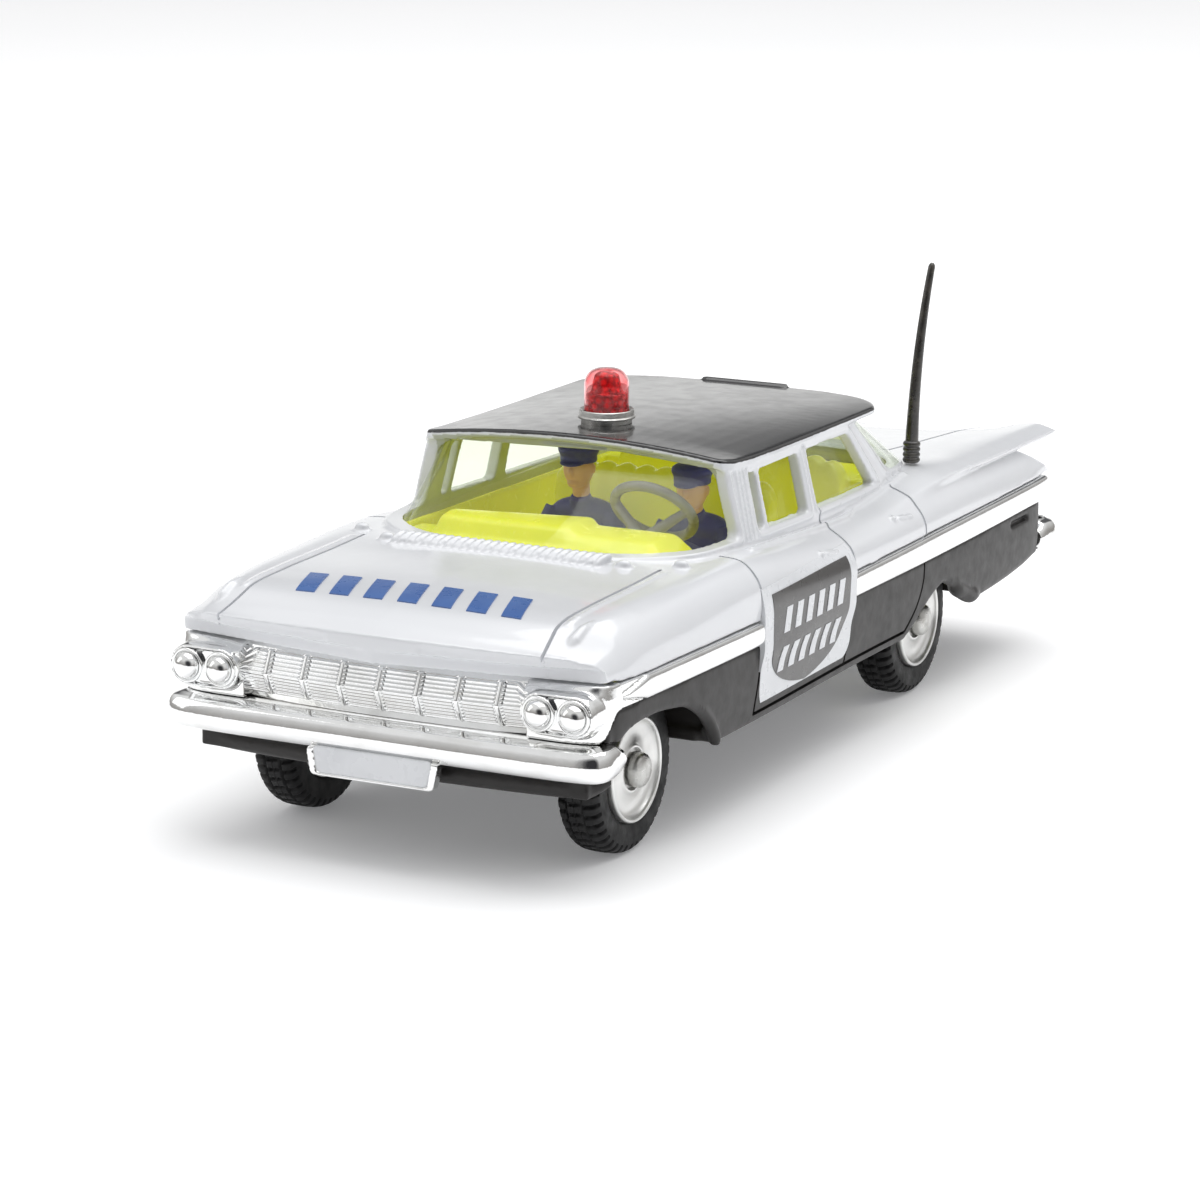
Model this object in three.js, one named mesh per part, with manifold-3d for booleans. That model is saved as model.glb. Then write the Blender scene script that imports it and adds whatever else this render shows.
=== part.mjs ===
// Die-cast toy patrol saloon: a two-part body shell with a plated trim moulding between the halves,
// glazing, cabin moulding with two figures, beacon, whip aerial and four sprung, spinning wheels.
// Millimetres. The car faces -Y, +Z is up, +X is the car's left. The origin is on the ground, mid-length.
import * as THREE from 'three';
import { mergeVertices } from 'three/addons/utils/BufferGeometryUtils.js';
import Module from 'manifold-3d';

const wasm = await Module();
wasm.setup();

// ---- Driving dimensions ----
const WALL = 1.2; // thickness of the die-cast shells
const GAP = 0.06; // clearance between pieces that rest on each other
const SPEAR_GAP = 0.15; // clearance along the curved edges of the side spears

const WHEEL_RADIUS = 7.64;
const TYRE_INNER_X = 13.3;
const TYRE_OUTER_X = 17.1;
const HUB_RADIUS = 4.75;
const AXLE_RADIUS = 0.8;
const AXLE_HEAD_RADIUS = 1.55; // the domed end that keeps the wheel on
const AXLE_HEAD_X = 17.2; // inner face of the domed end
const FRONT_AXLE_Y = -38.5;
const REAR_AXLE_Y = 24.25;
const BUMP_TRAVEL = 1.0; // how far an axle rises into the body

const FLOOR_BOTTOM = 8.3;
const FLOOR_TOP = 9.5;
const LUG_X = 11.2; // middle of the slotted lug that holds an axle
const LUG_HALF_WIDTH = 0.7;
const LUG_BOTTOM = 5.9;

const BELT_Z = 23.2;
const HEADER_Z = 30.4;
const BEACON_Y = -10.3;
const ROOF_AT_BEACON = 32.0;
const AERIAL_X = 16.3;
const AERIAL_Y = 24.4;
const AERIAL_SEAT_Z = 23.5; // top of the rear wing under the aerial
const AERIAL_TIP_Z = 43.3;
const FIGURE_X = 6.4;
const FIGURE_Y = -4.7;
const SEAT_Z = 15.5;

// ---- Finishes ----
function finish(color, roughness, metalness, extra = {}) {
  return new THREE.MeshStandardMaterial({ color, roughness, metalness, ...extra });
}

const FINISH = {
  white: () => finish(0xeef1f6, 0.2, 0.0),
  black: () => finish(0x2a2a2c, 0.4, 0.0),
  chrome: () => finish(0xd9dcdf, 0.12, 1.0),
  steel: () => finish(0xb4b6b8, 0.35, 1.0),
  clear: () => finish(0xe4efe6, 0.05, 0.0, { transparent: true, opacity: 0.3 }),
  lime: () => finish(0xcfe23a, 0.35, 0.0),
  grey: () => finish(0xa9a29c, 0.4, 0.2),
  navy: () => finish(0x2c3470, 0.5, 0.0),
  red: () => finish(0xc4141c, 0.1, 0.0, { transparent: true, opacity: 0.75 }),
  lampRed: () => finish(0xa3101a, 0.25, 0.0),
  aerial: () => finish(0x2b2823, 0.25, 0.3),
  tyre: () => finish(0x1d1c1c, 0.8, 0.0),
};

// ---- Number and solid helpers ----
// A smooth curve through [position, value] pairs, as a function of position.
function curve(points) {
  const slope = points.map((point, i) => {
    const before = points[Math.max(i - 1, 0)];
    const after = points[Math.min(i + 1, points.length - 1)];
    return (after[1] - before[1]) / (after[0] - before[0]);
  });
  return (at) => {
    const t = Math.min(Math.max(at, points[0][0]), points.at(-1)[0]);
    const i = Math.max(points.findIndex((point) => point[0] >= t) - 1, 0);
    const [t0, v0] = points[i];
    const [t1, v1] = points[i + 1];
    const span = t1 - t0;
    const s = (t - t0) / span;
    const ease = s * s * (3 - 2 * s);
    const leave = s * (1 - s) * (1 - s) * span * slope[i];
    const arrive = s * s * (s - 1) * span * slope[i + 1];
    return v0 + (v1 - v0) * ease + leave + arrive;
  };
}

function steps(from, to, count) {
  return Array.from({ length: count + 1 }, (_, i) => from + ((to - from) * i) / count);
}

function mix(a, b, t) {
  return a + (b - a) * t;
}

function signedArea(ring, u, v) {
  return ring.reduce((sum, p, i) => {
    const q = ring[(i + 1) % ring.length];
    return sum + (p[u] * q[v] - q[u] * p[v]) / 2;
  }, 0);
}

const NUDGE = 2e-4;

// The triangles of a flat-ish ring, seen along the axis that is neither u nor v, wound like the ring.
// A nudge far below any real size keeps points on a straight edge from being dropped.
function capTriangles(ring, u, v) {
  const nudge = (i) => NUDGE * Math.sin(2.4 * i * i + 1);
  const flat = ring.map((p, i) => [p[u] + nudge(i), p[v] + nudge(i + 0.5)]);
  const outline = flat.map(([x, y]) => new THREE.Vector2(x, y));
  const turn = Math.sign(signedArea(flat, 0, 1));
  return THREE.ShapeUtils.triangulateShape(outline, []).map((face) => {
    const corners = face.map((i) => flat[i]);
    return Math.sign(signedArea(corners, 0, 1)) === turn ? face : [face[0], face[2], face[1]];
  });
}

function volumeOf(position, index) {
  const corner = (i) => new THREE.Vector3(...position[index[i]]);
  let volume = 0;
  for (let i = 0; i < index.length; i += 3) {
    volume += corner(i).dot(corner(i + 1).cross(corner(i + 2))) / 6;
  }
  return volume;
}

// A closed skin over rings of [x, y, z] points. The rings all have the same number of points.
function loft(rings, u, v) {
  const size = rings[0].length;
  const position = rings.flat();
  const index = [];
  for (let r = 0; r + 1 < rings.length; r += 1) {
    for (let i = 0; i < size; i += 1) {
      const a = r * size + i;
      const b = r * size + ((i + 1) % size);
      index.push(a, b, b + size, a, b + size, a + size);
    }
  }
  const last = (rings.length - 1) * size;
  capTriangles(rings[0], u, v).forEach(([a, b, c]) => index.push(a, c, b));
  capTriangles(rings.at(-1), u, v).forEach(([a, b, c]) => index.push(last + a, last + b, last + c));
  if (volumeOf(position, index) < 0) {
    index.reverse();
  }
  const geometry = new THREE.BufferGeometry();
  geometry.setAttribute('position', new THREE.Float32BufferAttribute(position.flat(), 3));
  geometry.setIndex(index);
  return geometry;
}

// A straight prism: an outline of [y, z] points pushed along X, or of [x, y] points pushed along Z.
function prismX(outline, x0, x1) {
  return loft([x0, x1].map((x) => outline.map(([y, z]) => [x, y, z])), 1, 2);
}

function prismZ(outline, z0, z1) {
  return loft([z0, z1].map((z) => outline.map(([x, y]) => [x, y, z])), 0, 1);
}

function block(x0, x1, y0, y1, z0, z1) {
  const box = new THREE.BoxGeometry(x1 - x0, y1 - y0, z1 - z0);
  return box.translate((x0 + x1) / 2, (y0 + y1) / 2, (z0 + z1) / 2);
}

function ball(x, y, z, rx, ry, rz) {
  return new THREE.SphereGeometry(1, 12, 8).scale(rx, ry, rz).translate(x, y, z);
}

// A profile of [radius, height] points turned about Z.
function turned(profile, segments) {
  const points = profile.map(([r, z]) => new THREE.Vector2(r, z));
  return new THREE.LatheGeometry(points, segments).rotateX(Math.PI / 2);
}

function solid(geometry) {
  const bare = geometry.clone();
  bare.deleteAttribute('normal');
  bare.deleteAttribute('uv');
  const merged = mergeVertices(bare, 1e-4);
  const triangles = [];
  for (let i = 0; i < merged.index.count; i += 3) {
    const [a, b, c] = [0, 1, 2].map((k) => merged.index.getX(i + k));
    if (a !== b && b !== c && c !== a) {
      triangles.push(a, b, c);
    }
  }
  return new wasm.Manifold(new wasm.Mesh({
    numProp: 3,
    vertProperties: Float32Array.from(merged.attributes.position.array),
    triVerts: Uint32Array.from(triangles),
  }));
}

function join(geometries) {
  return geometries.map(solid).reduce((sum, next) => sum.add(next));
}

function cut(body, geometries) {
  return geometries.map(solid).reduce((rest, next) => rest.subtract(next), body);
}

// The largest connected piece, without the crumbs that a cut leaves behind.
function mainPiece(manifold) {
  return manifold.decompose().sort((a, b) => b.volume() - a.volume())[0];
}

function toGeometry(manifold) {
  const mesh = manifold.getMesh();
  const geometry = new THREE.BufferGeometry();
  geometry.setAttribute('position', new THREE.BufferAttribute(mesh.vertProperties, 3));
  geometry.setIndex(new THREE.BufferAttribute(mesh.triVerts, 1));
  return geometry;
}

// Mirrors [x, ...] points from the +X side onto the -X side and returns the whole ring.
function wholeRing(half) {
  const mirrored = half.filter(([x]) => x > 1e-6).map(([x, ...rest]) => [-x, ...rest]).reverse();
  return [...half, ...mirrored];
}

// ---- Body surface: curves along the car ----
// Height of the parting lines above and below the side spear.
const spearTop = curve([[-51, 18.2], [-33, 18.0], [-21, 17.85], [5, 18.0], [21, 18.2], [51, 18.4]]);
const spearBottom = curve([[-51, 15.8], [-21, 15.5], [18, 15.4], [51, 15.75]]);
const sideX = curve([[-51, 21.0], [-45, 21.3], [-22, 21.6], [0, 21.3], [16, 21.4], [45, 21.3], [52, 20.9]]);
// Underside of the upper body: it climbs forward into the overhanging nose lip.
const upperBottom = curve([
  [-54.2, 20.0], [-53.2, 19.4], [-52, 18.75], [-50.7, 18.2], [-33, 18.0], [-21, 17.85], [5, 18.0],
  [21, 18.2], [52, 18.4],
]);

// Each line that runs the length of the body: x and z as functions of y.
const BODY_LINES = [
  { // middle of bonnet and deck
    x: () => 0,
    z: curve([[-54.2, 20.4], [-53.6, 21.05], [-52.1, 22.0], [-49.2, 22.85], [-43.7, 23.3], [-34.5, 23.55],
      [-28, 23.9], [20, 23.6], [35, 22.8], [45, 22.1], [54, 21.1]]),
  },
  { // half way to the bonnet's edge
    x: () => 8,
    z: curve([[-54.2, 20.3], [-53.6, 20.9], [-52.1, 21.85], [-49.2, 22.75], [-43.7, 23.2], [-34.5, 23.45],
      [-28, 23.8], [20, 23.65], [35, 22.95], [45, 22.35], [54, 21.5]]),
  },
  { // bonnet's edge, and the crease where the rear wing starts
    x: curve([[-54.2, 15.6], [-30, 15.9], [10, 15], [30, 14.1], [54, 13.4]]),
    z: curve([[-54.2, 20.15], [-53.6, 20.6], [-52, 21.6], [-49.1, 22.6], [-44, 22.95], [-35, 23.15],
      [-25, 23.4], [0, 23.0], [17, 23.3], [24, 23.5], [33, 23.1], [40, 22.9], [47, 22.6], [54, 21.9]]),
  },
  { // top of the wings
    x: curve([[-54.2, 17.8], [-22, 18.3], [0, 18.0], [30, 17.8], [54, 18.0]]),
    z: curve([[-54.2, 20.15], [-53.4, 20.6], [-51.9, 21.4], [-49, 22.4], [-44, 22.9], [-35, 23.15],
      [-22, 23.3], [-14, 22.8], [0, 22.05], [10, 21.95], [17, 22.5], [24, 23.1], [33, 22.9], [43, 22.8],
      [54, 22.7]]),
  },
  { // edge of the shoulder, which becomes the sharp edge of the rear wing
    x: curve([[-54.2, 18.8], [-50, 19.4], [-22, 19.5], [0, 19.3], [17, 19.5], [26, 19.9], [34, 20.2],
      [54, 20.3]]),
    z: curve([[-54.2, 20.1], [-53, 20.4], [-51, 21.1], [-49, 21.7], [-44, 22.3], [-35, 22.8], [-22, 23.1],
      [-10, 22.1], [0, 21.35], [10, 21.35], [17, 21.8], [26, 22.3], [34, 22.35], [43, 22.2], [54, 22.1]]),
  },
  { // just below that edge, undercut at the rear
    x: curve([[-54.2, 20], [-50, 20.3], [-22, 20.5], [0, 20.1], [17, 20.2], [26, 19.9], [34, 19.6],
      [43, 19.4], [54, 19.3]]),
    z: curve([[-54.2, 20.1], [-53, 20.2], [-51, 20.6], [-49, 21.0], [-44, 21.6], [-35, 22.1], [-22, 22.4],
      [-10, 21.4], [0, 20.8], [10, 20.75], [17, 21.0], [26, 21.4], [34, 21.5], [43, 21.5], [54, 21.4]]),
  },
  { // upper flank
    x: curve([[-54.2, 20.5], [-50, 20.9], [-35, 21.2], [-22, 21.4], [0, 20.8], [16, 20.9], [34, 20.7],
      [54, 20.2]]),
    z: curve([[-54.2, 20.08], [-53, 19.9], [-51, 19.8], [-44, 20.5], [-22, 21.1], [-10, 20.4], [0, 20.1],
      [16, 20.1], [34, 20.3], [54, 20.1]]),
  },
  { // lower flank
    x: curve([[-54.2, 20.8], [-50, 21.2], [-22, 21.7], [0, 21.2], [16, 21.3], [34, 21.15], [54, 20.8]]),
    z: curve([[-54.2, 20.04], [-53, 19.6], [-51, 18.9], [-44, 19.2], [-22, 19.5], [0, 19.1], [34, 19.3],
      [54, 19.3]]),
  },
  { x: sideX, z: upperBottom }, // parting line above the spear
];

const NOSE_Y = -54.2;
const TAIL_Y = 54;
const BODY_STATIONS = [
  NOSE_Y, -53.7, -53, -52, -50.7, -49, -46.5, -44, -39, -34, -28, -22, -16, -10, -5, 0, 5, 10, 14, 18,
  22, 26, 30, 34, 39, 44, 49, 52, TAIL_Y,
];

// The nose is bowed in plan: its corners sit further back than its middle.
function noseSetBack(x, y) {
  const bow = 0.0035 * x * x + 1.8 * (Math.abs(x) / 21) ** 10;
  const fade = THREE.MathUtils.clamp((-42 - y) / 10, 0, 1);
  return bow * fade;
}

// The rear corners of the body are rounded forward in plan.
function tailSetBack(x, y) {
  const fade = THREE.MathUtils.clamp((y - 44) / 8, 0, 1);
  return 1.8 * (Math.abs(x) / 21) ** 8 * fade;
}

// One cross-section of the upper body. A section with an inset is that of the hollow inside the shell.
function bodySection(y, inset) {
  const half = BODY_LINES.map((line) => {
    const x = line.x(y);
    return [x - inset * Math.min(x / 15, 1), line.z(y) - inset];
  });
  const [lowX, lowZ] = half.at(-1);
  const bottom = inset > 0 ? lowZ - 3 : lowZ - 0.02;
  half.push([lowX * 0.98, bottom], [0, bottom]);
  return wholeRing(half).map(([x, z]) => [x, y + noseSetBack(x, y) - tailSetBack(x, y), z]);
}

function bodyLoft(stations, inset) {
  return loft(stations.map((y) => bodySection(y, inset)), 0, 2);
}

// The thin deck and wings that overhang the tail.
function wingSection(y) {
  const top = BODY_LINES.slice(0, 5).map((line) => [line.x(y), line.z(y)]);
  const thickness = [0.9, 0.9, 0.9, 0.9, 0.4];
  const under = top.map(([x, z], i) => [x - 0.1 * (i / 4), z - thickness[i]]).reverse();
  const centreForward = (x) => 1.6 * (1 - (x / 20.3) ** 2) * THREE.MathUtils.clamp((y - 46) / 8, 0, 1);
  return wholeRing([...top, ...under]).map(([x, z]) => [x, y - centreForward(x), z]);
}

// Side view of the space under the overhanging wings.
const TAIL_SLOPE = [[43.6, 21.9], [46.5, 20.8], [49.7, 19.1], [51.2, 17.9], [52, 16.9]];

function tailSpace(dy, dz) {
  const slope = TAIL_SLOPE.map(([y, z]) => [y + dy, z + dz]);
  return prismX([...slope, [60, 16.9 + dz], [60, 24], [43.6 + dy, 24]], -24, 24);
}

// ---- Cabin: a ruled surface between an outline at the belt and one at the roof ----
// [belt x, belt y, roof x, roof y], from the middle of the windscreen round to the middle of the backlight.
const CABIN = [
  [0, -30.3, 0, -17.6],
  [5, -30.2, 4.8, -17.6],
  [10, -29.6, 9.6, -17.5],
  [13.6, -27.4, 12.8, -17.4],
  [16.2, -24.0, 14.8, -17.2],
  [17.1, -18.4, 15.4, -16.8],
  [17.5, -13.5, 15.75, -13.3],
  [17.55, -12.0, 15.8, -11.6],
  [17.55, -11.3, 15.8, -11.0],
  [17.5, -2.4, 15.85, -2.5],
  [17.5, -0.35, 15.85, -0.65],
  [17.1, 13.9, 15.7, 8.4],
  [16.7, 17.2, 15.6, 9.6],
  [15.9, 23.6, 15.4, 11.2],
  [13.5, 26.6, 13.2, 13.6],
  [8, 28.2, 8, 15.2],
  [0, 28.6, 0, 15.6],
];
// Places in that list.
const WINDSCREEN_EDGE = 5;
const VENT = [6, 7];
const FRONT_DOOR = [8, 9];
const REAR_DOOR = [10, 11];
const BACKLIGHT_EDGE = 12;

const roofMiddle = curve([[-17.6, 32.1], [-10, 32.05], [0, 31.8], [10, 31.35], [20.3, 30.8]]);
const roofEdge = curve([[-17.6, 31.0], [-13, 30.75], [0, 30.6], [20.3, 30.6]]);
const roofHalfWidth = curve([
  [-17.6, 14.6], [-17.2, 15.4], [-15.5, 16], [0, 16.1], [14, 16.15], [16, 15.9], [18.2, 14.2],
  [19.6, 11.4], [20.3, 7],
]);
const ROOF_THICKNESS = 0.85;

function roofTop(x, y) {
  const crown = 1 - Math.min(Math.abs(x) / 16.1, 1) ** 2;
  return mix(roofEdge(y), roofMiddle(y), crown);
}

function roofSection(y) {
  const width = roofHalfWidth(y);
  const top = [0, 0.3, 0.55, 0.78, 0.93].map((part) => [part * width, roofTop(part * width, y)]);
  const edge = [[width, roofTop(width, y) - 0.25], [width - 0.1, roofTop(width, y) - 0.6]];
  const under = [0.9, 0.5, 0].map((part) => [part * width, roofTop(part * width, y) - ROOF_THICKNESS]);
  return wholeRing([...top, ...edge, ...under]).map(([x, z]) => [x, y, z]);
}

const ROOF_STATIONS = [-17.6, -17.2, -15.5, -10, -4, 2, 8, 12, 14.5, 16, 17.2, 18.2, 19, 19.6, 20.3];

// Moves a line of [x, y] points sideways, outward for a line that runs from front to back on the +X side.
function offset(outline, distance) {
  const last = outline.length - 1;
  return outline.map(([x, y], i) => {
    const [ax, ay] = outline[Math.max(i - 1, 0)];
    const [bx, by] = outline[Math.min(i + 1, last)];
    const length = Math.hypot(bx - ax, by - ay);
    return [x + (distance * (by - ay)) / length, y - (distance * (bx - ax)) / length];
  });
}

// Grows or shrinks a closed outline by about a distance on every side, without folding its corners.
function grow(ring, distance) {
  const halfWidth = Math.max(...ring.map(([x]) => x));
  const front = Math.min(...ring.map(([, y]) => y));
  const back = Math.max(...ring.map(([, y]) => y));
  const middle = (front + back) / 2;
  const scaleX = 1 + distance / halfWidth;
  const scaleY = 1 + distance / (back - middle);
  return ring.map(([x, y, z]) => [x * scaleX, middle + (y - middle) * scaleY, z]);
}

// The cabin's outline at a height, given as a function of x and y on the roof outline.
function cabinPoint([beltX, beltY, topX, topY], height) {
  const z = height(topX, topY);
  const t = Math.max((z - BELT_Z) / (HEADER_Z - BELT_Z), 0);
  return [mix(beltX, topX, t), mix(beltY, topY, t), z];
}

function cabinRing(height, outset) {
  return grow(wholeRing(CABIN.map((line) => cabinPoint(line, height))), outset);
}

const level = (z) => () => z;
const underRoof = (gap) => (x, y) => roofTop(x, y) - ROOF_THICKNESS - gap;

function cabinLoft(bottom, top, outset) {
  const heights = bottom < BELT_Z ? [level(bottom), level(BELT_Z), top] : [level(bottom), top];
  return loft(heights.map((height) => cabinRing(height, outset)), 0, 1);
}

// A cutter through the cabin wall along part of its outline, between two heights.
function windowCutter(lines, low, high) {
  const band = [low, high].map((height) => {
    const points = lines.map((line) => cabinPoint(line, height));
    const outer = offset(points, 2.2).map((p, i) => [...p, points[i][2]]);
    const inner = offset(points, -2.6).map((p, i) => [...p, points[i][2]]);
    return [...outer, ...inner.reverse()];
  });
  return loft(band, 0, 1);
}

function mirroredLines(lines) {
  return lines.map(([beltX, beltY, topX, topY]) => [-beltX, beltY, -topX, topY]).reverse();
}

function sideWindow([first, last], low, high) {
  const lines = CABIN.slice(first, last + 1);
  return [
    windowCutter(lines, level(low), level(high)),
    windowCutter(mirroredLines(lines), level(low), level(high)),
  ];
}

function windowCutters() {
  const front = CABIN.slice(0, WINDSCREEN_EDGE + 1);
  const rear = CABIN.slice(BACKLIGHT_EDGE);
  return [
    windowCutter([...mirroredLines(front).slice(0, -1), ...front], level(24.4), underRoof(0)),
    windowCutter([...rear, ...mirroredLines(rear).slice(1)], level(23.9), underRoof(0.1)),
    ...sideWindow(VENT, 24.3, 29.2),
    ...sideWindow(FRONT_DOOR, 23.9, 29.2),
    ...sideWindow(REAR_DOOR, 23.7, 29.1),
  ];
}

// ---- Upper body ----
const lowerBottom = curve([
  [-51.8, 8.2], [-34, FLOOR_BOTTOM], [-29, FLOOR_BOTTOM], [-20, FLOOR_BOTTOM], [0, FLOOR_BOTTOM],
  [8, FLOOR_BOTTOM], [16, FLOOR_BOTTOM], [31.4, 9.0], [37.8, 9.7], [44.4, 10.4], [48.6, 10.9],
]);
const RIVET_YS = { front: -32.5, rear: 33 };
const RIVET_RADIUS = 1.0;
const POST_RADIUS = 2.1;

// A hollow post that stands on the floor and takes a rivet.
function post(y) {
  const foot = lowerBottom(y + POST_RADIUS) + FLOOR_TOP - FLOOR_BOTTOM + GAP;
  const head = BODY_LINES[0].z(y) - WALL / 2 - foot;
  const sleeve = [[RIVET_RADIUS + 0.1, 0], [POST_RADIUS, 0], [POST_RADIUS, head], [0, head], [0, 4],
    [RIVET_RADIUS + 0.1, 4], [RIVET_RADIUS + 0.1, 0]];
  return turned(sleeve, 12).translate(0, y, foot);
}

function upperBody() {
  const flank = cut(solid(bodyLoft(BODY_STATIONS.slice(0, -1), 0)), [tailSpace(0, 0)]);
  const wingStations = [31, 34, 39, 43, 46, 49, 51.5, 53.2, TAIL_Y];
  const wings = loft(wingStations.map(wingSection), 0, 2);
  const roof = loft(ROOF_STATIONS.map(roofSection), 0, 2);
  const cabin = cabinLoft(21.2, underRoof(-0.3), 0);
  const outside = flank.add(join([wings, roof, cabin]));
  const hollowStations = [-51.4, -49, -44, -34, -22, -10, 0, 10, 18, 26, 34, 43, 49];
  const hollow = cut(solid(bodyLoft(hollowStations, WALL)), [tailSpace(-1.4, -0.6)]);
  const shell = outside.subtract(hollow);
  const open = cut(shell, [cabinLoft(19, underRoof(0.05), -WALL), ...windowCutters()]);
  return mainPiece(open).add(join(Object.values(RIVET_YS).map(post)));
}

// ---- Lower body ----
const lowerTop = curve([[-51.8, 14.2], [-50.7, 14.9], [-49.4, 15.6], [-21, 15.44], [18, 15.34], [51, 15.69]]);
const LOWER_STATIONS = [-51.8, -50.7, -49.4, -46, -40, -34, -29, -20, -10, 0, 8, 12, 16, 22, 27, 31.4, 35, 40,
  44.4, 47, 48.6];

function lowerSection(y) {
  const x = sideX(y);
  const low = lowerBottom(y);
  const half = [[0, lowerTop(y)], [x - 0.05, lowerTop(y)], [x, 13.2], [x - 0.1, 11.4], [x - 0.5, low + 0.7],
    [x - 1.2, low], [0, low]];
  return wholeRing(half).map(([px, pz]) => [px, y - tailSetBack(px, y), pz]);
}

function lowerHollow(y) {
  const x = sideX(y) - WALL;
  const low = lowerBottom(y) + FLOOR_TOP - FLOOR_BOTTOM;
  const half = [[0, 20], [x, 20], [x, low + 0.6], [x - 0.6, low], [0, low]];
  return wholeRing(half).map(([px, pz]) => [px, y, pz]);
}

const FRONT_ARCH = [[-60, 0], [-60, 13.3], [-48.5, 13.3], [-46.5, 13.9], [-44.2, 14.1], [-39.3, 13.95],
  [-36.3, 13.5], [-34.5, 12.8], [-32.4, 11.5], [-31.1, 10.2], [-30.1, 8.7], [-29.8, 0]];
const REAR_ARCH = [[12.7, 0], [12.9, 8.6], [15.3, 9.8], [17, 10.9], [19.7, 12], [21.7, 12.4], [23.1, 12.1],
  [24.9, 11.5], [25.8, 10.7], [27.3, 10], [29.3, 9.2], [31.4, 8.9], [31.6, 0]];

function bothSides(makePiece) {
  return [makePiece(1), makePiece(-1)];
}

function wheelOpenings(axleY, arch) {
  return bothSides((side) => [
    prismX(arch, side * 19.3, side * 25),
    block(side > 0 ? 12.5 : -19.9, side > 0 ? 19.9 : -12.5, axleY - 8.8, axleY + 8.2, 6, 16),
  ]).flat();
}

function axleLugs(axleY) {
  return [-LUG_X, LUG_X].map((x) => (
    block(x - LUG_HALF_WIDTH, x + LUG_HALF_WIDTH, axleY - 2.2, axleY + 2.2, LUG_BOTTOM, 10.9)));
}

// The upright slots that guide an axle, and the wider slot that its leaf spring works in.
function axleSlots(axleY) {
  const half = AXLE_RADIUS + 0.06;
  const low = WHEEL_RADIUS - AXLE_RADIUS - 0.05;
  const high = WHEEL_RADIUS + AXLE_RADIUS + BUMP_TRAVEL + 0.06;
  const reach = LUG_X + LUG_HALF_WIDTH + 1.5;
  return [
    block(-reach, reach, axleY - half, axleY + half, low, high),
    block(-9.9, 9.9, axleY - 1.8, axleY + 1.8, 7, 10),
  ];
}

function rivetHole(y) {
  return new THREE.CylinderGeometry(RIVET_RADIUS + 0.1, RIVET_RADIUS + 0.1, 8, 12)
    .rotateX(Math.PI / 2).translate(0, y, FLOOR_BOTTOM);
}

function lowerBody() {
  const tub = solid(loft(LOWER_STATIONS.map(lowerSection), 0, 2));
  const hollowStations = [-50.5, ...LOWER_STATIONS.slice(2, -1)];
  const hollow = loft(hollowStations.map(lowerHollow), 0, 2);
  const noseSeat = block(-20.4, 20.4, -53, -49.9, 13.35, 17);
  const bumperSeat = block(-20.4, 20.4, -53, -51.3, 0, 17);
  const rearSpan = block(-17, 17, 46, 50, 13.5, 17);
  const rearValance = block(-20, 20, 48, 51.9, 9.9, 12.9);
  const shell = cut(tub, [hollow, noseSeat, bumperSeat, rearSpan]);
  const arched = cut(shell, [
    ...wheelOpenings(FRONT_AXLE_Y, FRONT_ARCH),
    ...wheelOpenings(REAR_AXLE_Y, REAR_ARCH),
  ]);
  const lugged = arched.add(join([rearValance, ...axleLugs(FRONT_AXLE_Y), ...axleLugs(REAR_AXLE_Y)]));
  return cut(lugged, [
    ...axleSlots(FRONT_AXLE_Y),
    ...axleSlots(REAR_AXLE_Y),
    ...Object.values(RIVET_YS).map(rivetHole),
  ]);
}

// ---- Plated moulding: grille, lamp pods, side spears and rear cross-bar ----
const LAMP_Z = 15.95;
const LAMP_XS = [15.75, 19.09];
const LAMP_RADIUS = 1.5;
const POD_RADIUS = 1.85;
const POD_DEPTH = 1.7;
const POD_BACK_Y = -51.95;

function spearSection(y, side) {
  const x = sideX(y);
  const low = spearBottom(y) + SPEAR_GAP;
  const high = spearTop(y) - SPEAR_GAP;
  const middle = (low + high) / 2;
  const ring = [[x - 1.1, low], [x + 0.05, low], [x + 0.38, middle - 0.6], [x + 0.42, middle + 0.5],
    [x + 0.05, high], [x - 1.1, high]];
  return ring.map(([px, pz]) => [side * px, y, pz]);
}

function spear(side) {
  const stations = [-50.2, -46, ...steps(-40, 45, 8), 48, 50];
  return loft(stations.map((y) => spearSection(y - 1.2 * Math.max(y - 49, 0), side)), 0, 2);
}

// The grille leans forward at mid-height and is bowed in plan with the nose.
function grilleSection(x) {
  const bow = 0.0045 * x * x;
  return [[-50, 13.45], [-52.1, 13.45], [-52.6, 14], [-52.95, 15.9], [-51.9, 18.05], [-50, 18.05]]
    .map(([y, z]) => [x, y < -50 ? y + bow : y, z]);
}

function lampPod(side) {
  const [inner, outer] = LAMP_XS;
  const shape = new THREE.Shape();
  shape.absarc(side > 0 ? outer : -inner, LAMP_Z, POD_RADIUS, -Math.PI / 2, Math.PI / 2);
  shape.absarc(side > 0 ? inner : -outer, LAMP_Z, POD_RADIUS, Math.PI / 2, (3 * Math.PI) / 2);
  const pod = new THREE.ExtrudeGeometry(shape, { depth: POD_DEPTH, bevelEnabled: false, curveSegments: 10 });
  return pod.rotateX(Math.PI / 2).translate(0, POD_BACK_Y, 0);
}

function chromeTrim() {
  const grille = loft(steps(-20.2, 20.2, 10).map(grilleSection), 1, 2);
  const pods = bothSides(lampPod);
  const lamps = LAMP_XS.flatMap((x) => bothSides((side) => (
    ball(side * x, -53.6, LAMP_Z, LAMP_RADIUS, 0.9, LAMP_RADIUS))));
  const cornerXs = [[19.6, 21.1], [-21.1, -19.6]];
  const corners = cornerXs.map(([x0, x1]) => block(x0, x1, -51.4, -49.6, LAMP_Z, 18.05));
  const crossBar = block(-20.2, 20.2, 48.7, 51.6, 15.85, 16.85);
  return join([grille, ...pods, ...lamps, ...corners, ...bothSides(spear), crossBar]);
}

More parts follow.
